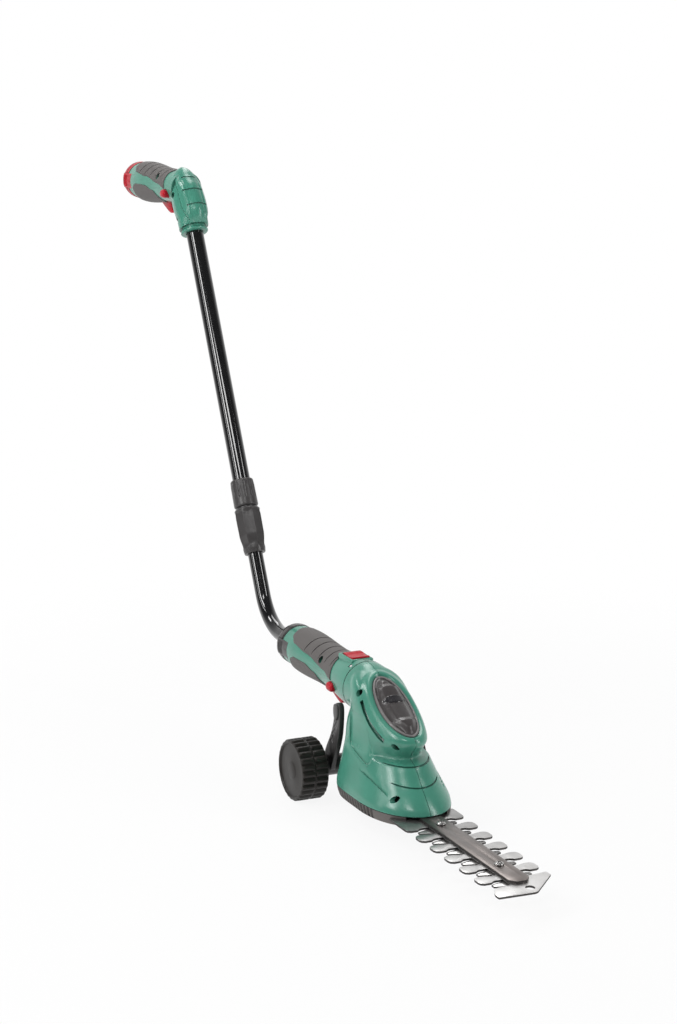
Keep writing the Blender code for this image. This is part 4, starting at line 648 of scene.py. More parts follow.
def pod_room():
    return moved(skin(96, 60, lambda u, v: pod_point(u, v, relief=False)), to_handle)


grip_pads("handle", HANDLE_REAR, HANDLE_GRIP, 0, HANDLE, "handle", HANDLE_REAR + 40, pod_room)

# Battery of the upper handle
# A stick battery slides into the rear of the grip: a dark plastic case with a red turned cap that
# closes the bay. A springy red tab on each side of the cap clicks into the housing.
CAP_LENGTH = 13.0
CAP_PROFILE = ((0.05, 0.0), (0.05, 16.6), (0.3, 17.9), (1.2, 19.4), (2.3, 20.2), (3.4, 20.5), (5.3, 20.8),
               (5.6, 20.0), (6.3, 20.0), (6.6, 20.9), (9.6, 21.0), (9.9, 20.2), (10.6, 20.2), (10.9, 21.0),
               (15.7, 21.0), (15.7, 17.1), (12.7, 17.1), (12.7, 0.0))
SIDES = ((1, "left"), (-1, "right"))


def turned(profile, sides=96):
    """A solid turned about X from points of a profile: place along X and radius."""
    mesh = bmesh.new()
    chain = [mesh.verts.new((x, 0, radius)) for x, radius in profile]
    edges = [mesh.edges.new(pair) for pair in zip(chain, chain[1:])]
    bmesh.ops.spin(mesh, geom=chain + edges, cent=(0, 0, 0), axis=(1, 0, 0), angle=2 * math.pi, steps=sides,
                   use_merge=True)
    bmesh.ops.remove_doubles(mesh, verts=mesh.verts, dist=0.0005)
    bmesh.ops.recalc_face_normals(mesh, faces=mesh.faces)
    return mesh


red = moulded("red_control", (0.44, 0.008, 0.02), 0.3, grain=0.12, specular=0.2)
dark_plastic = moulded("dark_grey_moulding", (0.054, 0.051, 0.051), 0.32, grain=0.1, specular=0.45)


def tab_room(rear, side):
    """The slot a catch springs in, deep enough for it to be pressed."""
    low, high = sorted((side * 16.6, side * 22))
    return block((rear - 10.2, low, -8.7), (rear + 14.7, high, 8.7))


def catch(rear, side):
    """A springy catch, rounded to the cap's curve, with a sunk thumb field and grip ribs in it."""
    tab = block((rear - 9.8, side * 19.75 - 1.5, -8.3), (rear + 14.3, side * 19.75 + 1.5, 8.3), 0.7)
    curve = rod((rear - 20, 0, 0), (rear + 30, 0, 0), 21.25, sides=160)
    tab = worked(tab, "BOOLEAN", curve, solver="MANIFOLD", operation="INTERSECT")
    field = block((rear - 7.6, side * 21.9 - 1.5, -6), (rear + 2.5, side * 21.9 + 1.5, 6), 0.5)
    ribs = [rod((x, side * 20.4, -6.5), (x, side * 20.4, 6.5), 0.55, sides=12)
            for x in (rear - 6 + 2.2 * i for i in range(4))]
    return joined(cut(tab, field), *ribs)


def catches(prefix, rear, place, material):
    """The pair of catches of a battery or plug."""
    for side, name in SIDES:
        tab = f"{prefix}_tab_{name}"
        piece(f"{prefix}_catch_{name}", catch(rear, side), place, material, tab, [tab])


cap = moved(turned(CAP_PROFILE), Matrix.Translation((HANDLE_REAR - CAP_LENGTH, 0, 0)))
cap = cut(cap, tab_room(HANDLE_REAR, 1), tab_room(HANDLE_REAR, -1))
piece("battery_end_cap", cap, HANDLE, red, "battery", ["battery_cap"], 25)
catches("battery", HANDLE_REAR, HANDLE, red)
CASE_LENGTH, FLUTES_AT = BAY_DEPTH - 0.6, 17.6
case = turned(((0, 0), (0, 16.7), (CASE_LENGTH - 2, 16.7), (CASE_LENGTH, 15.2), (CASE_LENGTH, 0)))
flutes = []
for i in range(6):
    angle = math.radians(30 + 60 * i)
    side = (FLUTES_AT * math.cos(angle), FLUTES_AT * math.sin(angle))
    flutes.append(rod((20, *side), (CASE_LENGTH - 6, *side), 1.5))
case = cut(case, *flutes, rod((1, 0, 0), (CASE_LENGTH - 1.5, 0, 0), 15.4, sides=64))
case = moved(case, Matrix.Translation((HANDLE_REAR, 0, 0)))
case = cut(case, tab_room(HANDLE_REAR, 1), tab_room(HANDLE_REAR, -1))
piece("battery_sleeve", case, HANDLE, dark_plastic, "battery", ["battery_case"])

# Triggers and lock buttons
# A red lever hangs from a pin in the underside of each grip and presses a switch above it. The oval
# lock button goes right through the grip and has to be pushed sideways first.
LEVER = ((-4, -5), (1, -7.2), (7, -9.8), (13, -12.2), (19, -14.5), (25, -16), (28.6, -15.6), (30.6, -13.6),
         (30.2, -10.5), (28.5, -6), (26.4, 3), (8.2, 3), (7.8, 2.3), (1.2, 2.3), (0.8, 3), (-4, 3))


def controls(prefix, rear, shift, place):
    """One grip's trigger and lock button."""
    pivot = rear + TRIGGER_FROM_REAR + shift
    lever = plate([(pivot + x, TRIGGER_Z + z) for x, z in LEVER], -5.5, 5.5, 1.1)
    pin = rod((pivot, -8.5, TRIGGER_Z), (pivot, 8.5, TRIGGER_Z), 2.0, sides=32)
    trigger, button = f"{prefix}_trigger", f"{prefix}_lock_button"
    piece(f"{prefix}_trigger_lever", joined(lever, pin), place, red, trigger, [trigger], 40)
    half_length = 1000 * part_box(button)[1].y
    oblong = stadium(rear + BUTTON_FROM_REAR + shift, BUTTON_Z, 4.6, 2.2, 48)
    knob = plate(oblong, -half_length, half_length, 3.0)
    piece(f"{prefix}_lock", knob, place, red, button, [button], 40)


controls("handle", HANDLE_REAR, 0, HANDLE)

# Telescopic pole
# Two steel tubes in glossy black lacquer. The upper one is fixed in the handle's pod, and the lower one
# slides inside it, then bends forward into the plug behind the trimmer.
UPPER_TUBE, LOWER_TUBE, BEND_RADIUS, CORNER = 9.5, 8.0, 58.0, 499.0
TUBE_SIDES = 96
black_lacquer, tree, shader = new_finish("black_lacquered_tube")
where = node(tree, "TexCoord").outputs["Object"]
ripple = node(tree, "TexNoise", {"Vector": where, "Scale": 60, "Detail": 3})
gloss = ramp(tree, ripple, (0.006, 0.006, 0.0065), (0.013, 0.013, 0.014))
haze = node(tree, "MapRange", {"Value": ripple, "To Min": 0.06, "To Max": 0.14})
wave = node(tree, "Bump", {"Strength": 0.02, "Distance": 0.0004, "Height": ripple})
feed(tree, shader, {"Coat Weight": 0.6, "Coat Roughness": 0.04, "Base Color": gloss, "Roughness": haze,
                    "Normal": wave})


def tube_wall(radius, wall, top, bottom, bend=None, run=0.0):
    """A drawn tube down the pole axis, with a swept bend and a straight run after it."""
    mesh = bmesh.new()
    for size in (radius, radius - wall):
        ring = bmesh.ops.create_circle(mesh, segments=TUBE_SIDES, radius=size,
                                       matrix=Matrix.Translation((0, 0, -top)))["verts"]
        loop = list({edge for vert in ring for edge in vert.link_edges})
        grown = bmesh.ops.extrude_edge_only(mesh, edges=loop)["geom"]
        bmesh.ops.translate(mesh, verts=[g for g in grown if isinstance(g, bmesh.types.BMVert)],
                            vec=(0, 0, top - bottom))
        if bend:
            loop = [g for g in grown if isinstance(g, bmesh.types.BMEdge)]
            verts = [g for g in grown if isinstance(g, bmesh.types.BMVert)]
            swept = bmesh.ops.spin(mesh, geom=verts + loop, cent=(BEND_RADIUS, 0, -bottom), axis=(0, -1, 0),
                                   angle=bend, steps=40)["geom_last"]
            loop = [g for g in swept if isinstance(g, bmesh.types.BMEdge)]
            grown = bmesh.ops.extrude_edge_only(mesh, edges=loop)["geom"]
            ahead = Vector((math.sin(bend), 0, -math.cos(bend)))
            bmesh.ops.translate(mesh, verts=[g for g in grown if isinstance(g, bmesh.types.BMVert)],
                                vec=ahead * run)
    rims = [edge for edge in mesh.edges if edge.is_boundary]
    for low in (True, False):
        ends = [edge for edge in rims if (sum(vert.co.z for vert in edge.verts) / 2 < -top - 1) == low]
        bmesh.ops.bridge_loops(mesh, edges=ends)
    bmesh.ops.recalc_face_normals(mesh, faces=mesh.faces)
    return mesh


upper = tube_wall(UPPER_TUBE, 1.2, 20, 378.3)
piece("pole_upper_tube", upper, POLE, black_lacquer, "handle", ["upper_tube"], 60)
bend_angle = math.pi / 2 - lean
tangent = BEND_RADIUS * math.tan(bend_angle / 2)
plug_depth = 1000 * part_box("lower_tube")[1].x - 1000 * (pole_top + down_pole * CORNER / 1000).x
lower = tube_wall(LOWER_TUBE, 1.0, 40, CORNER - tangent, bend_angle, plug_depth - tangent)
piece("pole_lower_tube", lower, POLE, black_lacquer, "lower_pole", ["lower_tube"], 60)

# Twist clamp
# The fixed collar and the turning sleeve lock the lower tube at any length. Both are dark plastic, the
# collar with sunk finger slots and the sleeve with broad flats that taper to its foot.
CLAMP_TOP, COLLAR_END, SLEEVE_TOP, SLEEVE_END = 338.0, 369.6, 369.8, 419.0
COLLAR_SLOTS, SLEEVE_FLATS = 12, 8
COLLAR_RADII = ((0, 11.6), (1.2, 12.3), (8, 12.7), (28.2, 13.0), (29.4, 12.6), (29.7, 10.9), (31.6, 10.9))
SLEEVE_RADII = ((0, 12.6), (1.6, 13.8), (9, 14.5), (28, 14.3), (43, 12.2), (48.2, 11.4), (49.2, 11.0))


def collar_point(u, v):
    along = (COLLAR_END - CLAMP_TOP) * v
    radius = stepped(COLLAR_RADII, along)
    angle = 2 * math.pi * u
    return radius * math.cos(angle), radius * math.sin(angle), -CLAMP_TOP - along


def sleeve_point(u, v):
    along = (SLEEVE_END - SLEEVE_TOP) * v
    radius = stepped(SLEEVE_RADII, along)
    angle = 2 * math.pi * u
    half = math.pi / SLEEVE_FLATS
    flat = radius * (1 - math.cos(half) / math.cos(angle % (2 * half) - half))
    radius -= 1.15 * flat * ease((along - 1) / 5) * ease((47 - along) / 10)
    return radius * math.cos(angle), radius * math.sin(angle), -SLEEVE_TOP - along


collar = skin(192, 60, collar_point)
slots = []
for i in range(COLLAR_SLOTS):
    angle = 2 * math.pi * (i + 0.5) / COLLAR_SLOTS
    side = Vector((13.6 * math.cos(angle), 13.6 * math.sin(angle), 0))
    slots.append(rod(side + Vector((0, 0, -CLAMP_TOP - 2.0)), side + Vector((0, 0, -CLAMP_TOP - 20)), 1.6,
                     sides=20))
collar = cut(collar, rod((0, 0, -CLAMP_TOP + 5), (0, 0, -COLLAR_END - 5), 9.6, sides=96), *slots)
piece("clamp_top_collar", collar, POLE, dark_plastic, "handle", ["clamp_collar"])
sleeve = skin(SLEEVE_FLATS * 24, 90, sleeve_point)
sleeve = cut(sleeve, rod((0, 0, -SLEEVE_TOP + 5), (0, 0, -SLEEVE_END + 10), 9.9, sides=96),
             rod((0, 0, -SLEEVE_TOP), (0, 0, -SLEEVE_END - 5), 8.3, sides=96))
piece("clamp_turning_sleeve", sleeve, POLE, dark_plastic, "clamp_sleeve", ["clamp_sleeve"])

# Pole plug
# The bent tube ends in a domed dark plug whose spigot fills the trimmer's empty battery bay, with the
# same pair of catches as the battery. Small drain slots are moulded round the dome.
TRIMMER_REAR = 1000 * (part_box("grip_shell_left")[0].x - swivel.x)
PLUG_CAP, PLUG_END = 18.0, 18.0 + BAY_DEPTH - 0.6
DOME = ((0, 0), (0, 11.0), (0.3, 12.8), (1.2, 15.2), (2.8, 17.6), (5.0, 19.4), (7.6, 20.5), (10.4, 20.9),
        (15.2, 20.9), (15.6, 20.3), (16.4, 20.3), (16.8, 20.9), (PLUG_CAP - 0.3, 20.9),
        (PLUG_CAP - 0.3, 16.7), (PLUG_END - 1, 16.7), (PLUG_END, 15.6), (PLUG_END, 0))
plug_rear = TRIMMER_REAR - PLUG_CAP
plug = moved(turned(DOME), Matrix.Translation((plug_rear, 0, 0)))
drains = list(drain_slots(BVHTree.FromBMesh(plug), plug_rear + 8.5, (-35, 35, 132, 228), (-11, -4, 4, 11),
                          radius=1.2, sink=0.3))
tube_socket = rod((plug_rear - 5, 0, 0), (plug_rear + 45.3, 0, 0), LOWER_TUBE + 0.15, sides=96)
plug = cut(plug, *drains, tube_socket, tab_room(TRIMMER_REAR, 1), tab_room(TRIMMER_REAR, -1))
piece("pole_end_plug", plug, TRIMMER, dark_plastic, "lower_pole", ["pole_plug"])
catches("plug", TRIMMER_REAR, TRIMMER, dark_plastic)

# Trimmer grip housing
# The same two-part green grip as the handle, but flared at the front to the ring where the head turns.
# A raised frame on top holds the red latch that locks the head's angle.
TRIMMER_GRIP = ((0, GRIP_END), (BELLY_AT, GRIP_BELLY), (WAIST_AT, 19.8), (153.7, 25.0))
SHIFT = 7.5
LATCH_REAR, LATCH_FRONT, LATCH_HALF, LATCH_SEAT, LATCH_TOP = -32.5, -11.5, 9.5, 20.5, 26.2
LAMP_X, LAMP_ANGLE = -4.5, math.radians(125)
housing = joined(grip_skin(TRIMMER_REAR, TRIMMER_GRIP), block((-38.5, -12, 5), (-8.5, 12, 24.6), 1.6))
drains = list(drain_slots(BVHTree.FromBMesh(housing), TRIMMER_REAR + 11))
latch_bed = block((LATCH_REAR - 3.3, -LATCH_HALF - 0.3, LATCH_SEAT - 0.2),
                  (LATCH_FRONT + 0.3, LATCH_HALF + 0.3, 40))
ring_bore = rod((-19.7, 0, 0), (5, 0, 0), 15.5, sides=64)
core = Vector((0, math.cos(LAMP_ANGLE), math.sin(LAMP_ANGLE)))
lamp_foot = Vector((LAMP_X, 0, 0))
lamp_hole = rod(lamp_foot + core * 19, lamp_foot + core * 30, 1.75, sides=24)
lamp_slot = block((LAMP_X - 3.4, core.y * 24.8 - 1.8, core.z * 24.8 - 2.2),
                  (LAMP_X - 1.0, core.y * 24.8 + 1.8, core.z * 24.8 + 2.2))
grip_screw = [(TRIMMER_REAR + SCREW_FROM_REAR, SCREW_Z, SCREW_SEAT)]
housing = cut(housing, *grip_openings(TRIMMER_REAR, SHIFT), latch_bed, ring_bore, lamp_hole, lamp_slot,
              *drains, *screw_holes(grip_screw, radius=3.7))
shells("grip", housing, TRIMMER, "trimmer")
grip_pads("grip", TRIMMER_REAR, TRIMMER_GRIP, SHIFT, TRIMMER, "trimmer", TRIMMER_REAR + 54,
          lambda: block((-38.8, -12.3, 4), (-8, 12.3, 40)))
controls("grip", TRIMMER_REAR, SHIFT, TRIMMER)

# Head latch and charge lamp
# A red slide with a finger hollow and grip ribs sits in the raised frame. A clear pin beside it lights
# up while the battery charges.
latch = block((LATCH_REAR, -LATCH_HALF, LATCH_SEAT), (LATCH_FRONT, LATCH_HALF, LATCH_TOP), 0.9)
thumb_x, thumb_z = LATCH_REAR + 12, LATCH_TOP + 15.5
hollow = rod((thumb_x, -30, thumb_z), (thumb_x, 30, thumb_z), 16.8, sides=96)
ribs = []
for i in range(3):
    x, z = LATCH_REAR + 2.2 + 1.7 * i, LATCH_TOP + 0.2
    ribs.append(rod((x, -7.5, z), (x, 7.5, z), 0.5, sides=12))
latch = cut(latch, hollow, *ribs)
piece("latch_slide_button", latch, TRIMMER, red, "head_latch", ["head_latch"])
lens = turned(((0, 0), (0, 1.5), (4.2, 1.5), (4.8, 1.2), (5.15, 0.6), (5.25, 0)), 32)
outward = core.to_track_quat("X", "Z").to_matrix().to_4x4()
lens = moved(lens, Matrix.Translation(lamp_foot + core * 20.6) @ outward)
clear_pin, tree, shader = new_finish("clear_lamp_pin")
milk = node(tree, "TexNoise", {"Vector": node(tree, "TexCoord").outputs["Object"], "Scale": 500})
cloudy = ramp(tree, milk, (0.62, 0.6, 0.6), (0.82, 0.8, 0.8))
feed(tree, shader, {"Roughness": 0.08, "Coat Weight": 0.5, "Base Color": cloudy})
piece("lamp_pin", lens, TRIMMER, clear_pin, "trimmer", ["charge_lamp"], 50)

# Head housing
# Two green mouldings screwed together from the right cover the motor and gears: a round neck behind,
# a flat-sided body that widens to the foot, a hood with a rolled rim round the oval cover, and grooves.
# Levels from the foot up: height, back, widest place, front, half width
HEAD = ((-86.2, 10, 72, 138, 43.6), (-80, 9.5, 70, 134, 43), (-72, 9, 66, 126.8, 40.2),
        (-65, 8, 62, 119.6, 37.6), (-58, 7, 59, 113.4, 35), (-50, 6, 56, 106.2, 32.4),
        (-45, 5.5, 54, 102.8, 30.8), (-37, 5, 52, 104, 29.6), (-29, 4.6, 50, 106.2, 28.8),
        (-23, 4.2, 47, 100.8, 28.6), (-14, 3.6, 42, 86.6, 28.4), (-6, 3, 37, 72, 28), (7, 2.6, 28, 47.5, 26),
        (15, 2.5, 20, 31.5, 22.2), (20, 4, 13, 21.5, 15), (22.5, 8, 11.5, 15, 6))
COVER_AT, COVER_SLOPE = Vector((63, 0, -2.6)), math.radians(27.8)
COVER_HALF_LENGTH, COVER_HALF_WIDTH = 40.6, 17.2
downhill = Vector((math.cos(COVER_SLOPE), 0, -math.sin(COVER_SLOPE)))
uphill_normal = Vector((math.sin(COVER_SLOPE), 0, math.cos(COVER_SLOPE)))
SIDE_PANEL = ((21.9, -12), (24.9, -33), (28.3, -43.5), (36.7, -47.5), (53, -51), (69.5, -54), (72.9, -50.5),
              (71.7, -45), (67, -35), (59.6, -23.5), (50, -12))
SIDE_SLOT = ((41.8, 25.5, 0.5), (50, 26.5, -7), (60.9, 26.3, -15.5), (73.2, 25, -22.5), (83.5, 22.9, -27.5))
SKIRT_CREASE = ((57, -60), (69.7, -61.5), (81.6, -63.5), (93.6, -67), (102.4, -70), (111.1, -73.5))
UNDERCUT_TOP, UNDERCUT_FOOT, UNDERCUT_DEPTH, DEEPEST_AT = -24.0, -48.5, 8.2, 0.8


def head_point(u, v, inset=0.0, front_inset=0.0, top=22.5):
    low = HEAD[0][0]
    z = low + (top - low) * (1 - (1 - v) ** 1.15)
    back, widest, front, half = faired(HEAD, z)
    angle = 2 * math.pi * u
    ahead, aside = math.cos(angle), math.sin(angle)
    reach = max(1.0, front - widest - front_inset if ahead > 0 else widest - back - inset)
    power = 2.05 if ahead > 0 else 5.5 - 2.9 * ease((z + 34) / 24)
    away = ((abs(ahead) / reach) ** power + (abs(aside) / (half - inset)) ** power) ** (-1 / power)
    return widest + away * ahead, away * aside, z


# The neck from the turning ring into the body: place along, half width, height above the axis, depth below
NECK = ((0.3, 25.0, 25.0, 25.0), (6, 25.2, 24.9, 25.2), (14, 25.8, 23.4, 25.8), (22, 25.8, 20.4, 26),
        (34, 21, 12.5, 22))


def neck_point(u, v):
    x = NECK[0][0] + (NECK[-1][0] - NECK[0][0]) * v
    half, height, depth = faired(NECK, x)
    angle = 2 * math.pi * u
    side, lift = math.sin(angle), math.cos(angle)
    return x, half * side, (height if lift > 0 else depth) * lift


def inside_depth(outline, x, z):
    """How far a point lies inside an outline, and 0 outside it."""
    inside, least = False, 1e9
    for (ax, az), (bx, bz) in zip(outline, outline[1:] + outline[:1]):
        if (az > z) != (bz > z) and x < ax + (bx - ax) * (z - az) / (bz - az):
            inside = not inside
        share = ((x - ax) * (bx - ax) + (z - az) * (bz - az)) / ((bx - ax) ** 2 + (bz - az) ** 2)
        share = max(0.0, min(1.0, share))
        least = min(least, math.hypot(x - ax - share * (bx - ax), z - az - share * (bz - az)))
    return least if inside else 0.0


def rim_distance(point):
    """How far a point lies outside the oval cover, measured on its slope."""
    along, across = (point - COVER_AT).dot(downhill), point.y
    oval = math.hypot(along / COVER_HALF_LENGTH, across / COVER_HALF_WIDTH)
    slope = math.hypot(along / COVER_HALF_LENGTH ** 2, across / COVER_HALF_WIDTH ** 2) / max(oval, 0.2)
    return (oval - 1) / max(slope, 1e-4)


def head_relief(point, normal):
    """How far the moulded skin stands off the plain body here: hood rim, side panel and skirt crease."""
    lift = 0.0
    away = rim_distance(point)
    if 0 < away < 11 and normal.dot(uphill_normal) > 0.1:
        lift += 2.2 * ease(away / 2.6) * (1 - ease((away - 3.5) / 7))
    if abs(normal.y) > 0.5:
        lift -= 1.1 * ease(inside_depth(SIDE_PANEL, point.x, point.z) / 1.1) * ease((-9 - point.z) / 12)
        for (ax, az), (bx, bz) in zip(SKIRT_CREASE, SKIRT_CREASE[1:]):
            if ax <= point.x < bx:
                above = point.z - (az + (bz - az) * (point.x - ax) / (bx - ax))
                if 0 < above < 7:
                    ends = ease((point.x - 57) / 12) * ease((111 - point.x) / 12)
                    lift -= 1.3 * (1 - above / 7) ** 2 * ends
    return lift


def undercut(point):
    """How far, and which way, the body draws in under the hood."""
    widest = faired(HEAD, point.z)[1]
    out = Vector((point.x - widest, point.y, 0)).normalized()
    facing = ease((out.x - 0.3) / 0.6)
    share = (UNDERCUT_TOP - point.z) / (UNDERCUT_TOP - UNDERCUT_FOOT)
    drawn = ease(share / DEEPEST_AT) * (1 - ease((share - DEEPEST_AT) / (1 - DEEPEST_AT)))
    return -out * UNDERCUT_DEPTH * facing * drawn


def smoothed(mesh, rounds, chosen):
    """Even out the points of a mesh that chosen picks by place."""
    for _ in range(rounds):
        bmesh.ops.smooth_vert(mesh, verts=[vert for vert in mesh.verts if chosen(vert.co)], factor=0.5,
                              use_axis_x=True, use_axis_y=True, use_axis_z=True)


body = joined(skin(360, 160, head_point), skin(120, 30, neck_point))
body = worked(body, "REMESH", mode="VOXEL", voxel_size=0.72)
smoothed(body, 12, lambda co: co.z > -24 and 2 < co.x < 60)
smoothed(body, 4, lambda co: co.z > -84 and co.x > 2)
plain = BVHTree.FromBMesh(body)
body.normal_update()
moves = [(vert, vert.normal * head_relief(vert.co, vert.normal) + undercut(vert.co)) for vert in body.verts]
for vert, move in moves:
    vert.co += move
smoothed(body, 2, lambda co: -52 < co.z < -24 and co.x > 60)
surface = BVHTree.FromBMesh(body)
lines = []
for side in (-1, 1):
    lines.append(sunk_line(surface, [(x, side * y, z) for x, y, z in SIDE_SLOT], 2.5, 1.5))
for height, drop, spread, radius in ((-48.6, 2.6, 58, 1.05), (-64.5, 4.0, 48, 1.0)):
    path = []
    for step in range(-8, 9):
        angle = math.radians(spread * step / 8)
        z = height + drop * (step / 8) ** 2
        back, widest, front, half = faired(HEAD, z)
        path.append((widest + (front - widest) * math.cos(angle), half * math.sin(angle), z))
    lines.append(sunk_line(surface, path, radius, 0.5, taper=True))
# A fine bead edges each side panel behind and below
beads = [sunk_line(surface, [(x, side * 33, z) for x, z in SIDE_PANEL[:7]], 1.1, 0.35, taper=True)
         for side in (-1, 1)]
# The cover's pocket is a flat-floored oval, and the cavity under it stays a wall lower
POCKET_FLOOR = -3.6
slope = Matrix.Translation(COVER_AT) @ Matrix.Rotation(COVER_SLOPE, 4, "Y")
oval = [(1.006 * COVER_HALF_LENGTH * math.cos(a), 1.012 * COVER_HALF_WIDTH * math.sin(a))
        for a in (2 * math.pi * i / 120 for i in range(120))]
pocket = moved(plate(oval, POCKET_FLOOR, 30, axis="Z"), slope)


def cavity_point(u, v):
    point = Vector(head_point(u, v, inset=3.4, front_inset=5.0, top=19.0))
    return point + undercut(point)


cavity = skin(160, 100, cavity_point)
bmesh.ops.translate(cavity, verts=[vert for vert in cavity.verts if vert.co.z < -86], vec=(0, 0, -4))
cavity = cut(cavity, moved(block((-90, -90, POCKET_FLOOR - 2.6), (90, 90, 60)), slope))
neck_bore = rod((-5, 0, 0), (20, 0, 0), 15.5, sides=64)
HEAD_SCREWS = ((35, 6, 17), (94, -30.5, 10), (114.5, -73.5, 18))
housing = joined(body, *beads)
housing = cut(housing, *lines, pocket, cavity, neck_bore)
housing = cut(housing, *screw_holes(HEAD_SCREWS))
shells("head", housing, TRIMMER, "head")

# Oval cover
# A dark glossy oval is snapped into the hood: a beaded edge, two small ledges across it that catch the
# light from above, and a plain raised oval where a badge would be.
STEPS_AT, STEP_RISE, STEP_RUN, STEP_FADE = (-27.0, 18.0), 1.9, 4.6, 15.0
BADGE_AT, BADGE_HALF_LENGTH, BADGE_HALF_WIDTH = -6.0, 4.6, 11.0
BEAD = 2.6


def cover_point(u, v):
    across = math.sin((4 * u - 1 if u < 0.5 else 3 - 4 * u) * math.pi / 2)
    along = -math.cos(v * math.pi)
    side = COVER_HALF_WIDTH * across * math.sqrt(max(0.0, 1 - along ** 2))
    ahead = COVER_HALF_LENGTH * along
    base = COVER_AT + downhill * ahead + Vector((0, side, 0))
    hit = plain.ray_cast(base + uphill_normal * 40, -uphill_normal)[0]
    height = (hit - base).dot(uphill_normal) if hit else 0.0
    inward = -rim_distance(base)
    rise = 0.35
    if inward < BEAD:
        share = 2 * inward / BEAD - 1
        rise += 0.9 * math.sqrt(max(0.0, 1 - share ** 2)) - 0.5 * (1 - min(1.0, inward / 0.5))
    else:
        rise += 3.0 * (1 - (side / COVER_HALF_WIDTH) ** 2) * ease((inward - BEAD) / 8)
        tier = 0.0
        for at in STEPS_AT:
            past = ahead - at
            if 0 < past <= STEP_RUN:
                tier = STEP_RISE * past / STEP_RUN
            elif STEP_RUN < past < STEP_RUN + STEP_FADE:
                tier = STEP_RISE * (1 - ease((past - STEP_RUN) / STEP_FADE))
        rise += tier * ease((inward - BEAD) / 1.5)
        badge = math.hypot((ahead - BADGE_AT) / BADGE_HALF_LENGTH, side / BADGE_HALF_WIDTH)
        rise += 0.9 * ease((1.12 - badge) / 0.25)
    if u >= 0.5:
        height, rise = min(height, POCKET_FLOOR + 0.2), 0.0
    return base + uphill_normal * (height + rise)


cover = skin(240, 220, cover_point)
cover_grey = moulded("cover_moulding", (0.06, 0.0545, 0.0545), 0.27, grain=0.06)
bead_grey = moulded("cover_bead", (0.2, 0.188, 0.188), 0.22, grain=0.05)
badge_black = moulded("cover_badge", (0.016, 0.015, 0.018), 0.25, grain=0.05)
cover_piece = piece("hood_oval_cover", cover, TRIMMER, cover_grey, "head", ["oval_cover"],
                    28)
cover_piece.data.materials.append(bead_grey)
cover_piece.data.materials.append(badge_black)
for face in cover_piece.data.polygons:
    at = TRIMMER.inverted() @ face.center
    ahead = (at - COVER_AT).dot(downhill)
    if -rim_distance(at) < BEAD:
        face.material_index = 1
    elif math.hypot((ahead - BADGE_AT) / BADGE_HALF_LENGTH, at.y / BADGE_HALF_WIDTH) < 1:
        face.material_index = 2

# Base plate
# A shallow dark tray closes the foot of the head and carries the blades. Its sides are ribbed as far as the
# nose, with shade painted into the ribs' hollows, then run smoothly in to a cut front.
BASE_TOP, BASE_BOTTOM, BASE_INSET, BASE_TAPER, BASE_FRONT = -86.5, -96.0, 0.3, 2.2, 129.0
RIB_PITCH, RIB_DEPTH, RIBS_TO = 5.8, 1.9, 98.0


def base_point(u, v):
    back, widest, front, half = HEAD[0][1:]
    z = BASE_BOTTOM + (BASE_TOP - BASE_BOTTOM) * v
    inset = BASE_INSET + BASE_TAPER * ((BASE_TOP - z) / (BASE_TOP - BASE_BOTTOM)) ** 1.6
    angle = 2 * math.pi * u
    ahead, aside = math.cos(angle), math.sin(angle)
    reach = (front - widest if ahead > 0 else widest - back) - inset
    power = 2.05 if ahead > 0 else 5.5
    away = ((abs(ahead) / reach) ** power + (abs(aside) / (half - inset)) ** power) ** (-1 / power)
    x = widest + away * ahead
    ribbed = ease((RIBS_TO - x) / 4) * ease((x - 16) / 4) * ease((v - 0.06) / 0.08) * ease((0.94 - v) / 0.08)
    away -= RIB_DEPTH * ribbed * (0.5 - 0.5 * math.cos(2 * math.pi * x / RIB_PITCH))
    return widest + away * ahead, away * aside, z


tray = skin(960, 24, base_point)
hollow = block((14, -34, -93.4), (109, 34, -80))
tray = cut(tray, block((BASE_FRONT, -80, -120), (200, 80, -60)), hollow,
           block((77.7, -21.3, -93.8), (200, 21.3, -80)), block((-20, -14.3, -93.4), (30.3, 14.3, -88.6)),
           block((51.7, -12.3, -120), (200, 12.3, -92)))
base_grey = moulded("base_moulding", (0.13, 0.117, 0.11), 0.5, grain=0.2)
tree = base_grey.node_tree
shader = tree.nodes["Principled BSDF"]
# The ribs' hollows are painted darker in step with the ribs, and the smooth nose is left plain: painted
# shade.
along = node(tree, "SeparateXYZ", {"Vector": node(tree, "TexCoord").outputs["Object"]})
turns = 2 * math.pi * 1000 / RIB_PITCH
phase = node(tree, "Math", {0: along, 1: turns, 2: -turns * swivel.x}, operation="MULTIPLY_ADD")
crest = node(tree, "Math", {0: phase}, operation="COSINE")
rib_shade = node(tree, "MapRange", {"Value": crest, "From Min": -0.6, "To Min": 0.22})
smooth_nose = node(tree, "Math", {0: along, 1: swivel.x + RIBS_TO / 1000}, operation="GREATER_THAN")
tone = node(tree, "Math", {0: rib_shade, 1: smooth_nose}, operation="MAXIMUM")
plain_colour = shader.inputs["Base Color"].links[0].from_socket
rib_shaded_colour = node(tree, "VectorMath", {"Vector": plain_colour, "Scale": tone}, operation="SCALE")
feed(tree, shader, {"Base Color": rib_shaded_colour})
piece("base_tray", tray, TRIMMER, base_grey, "head", ["base_plate"], 45)
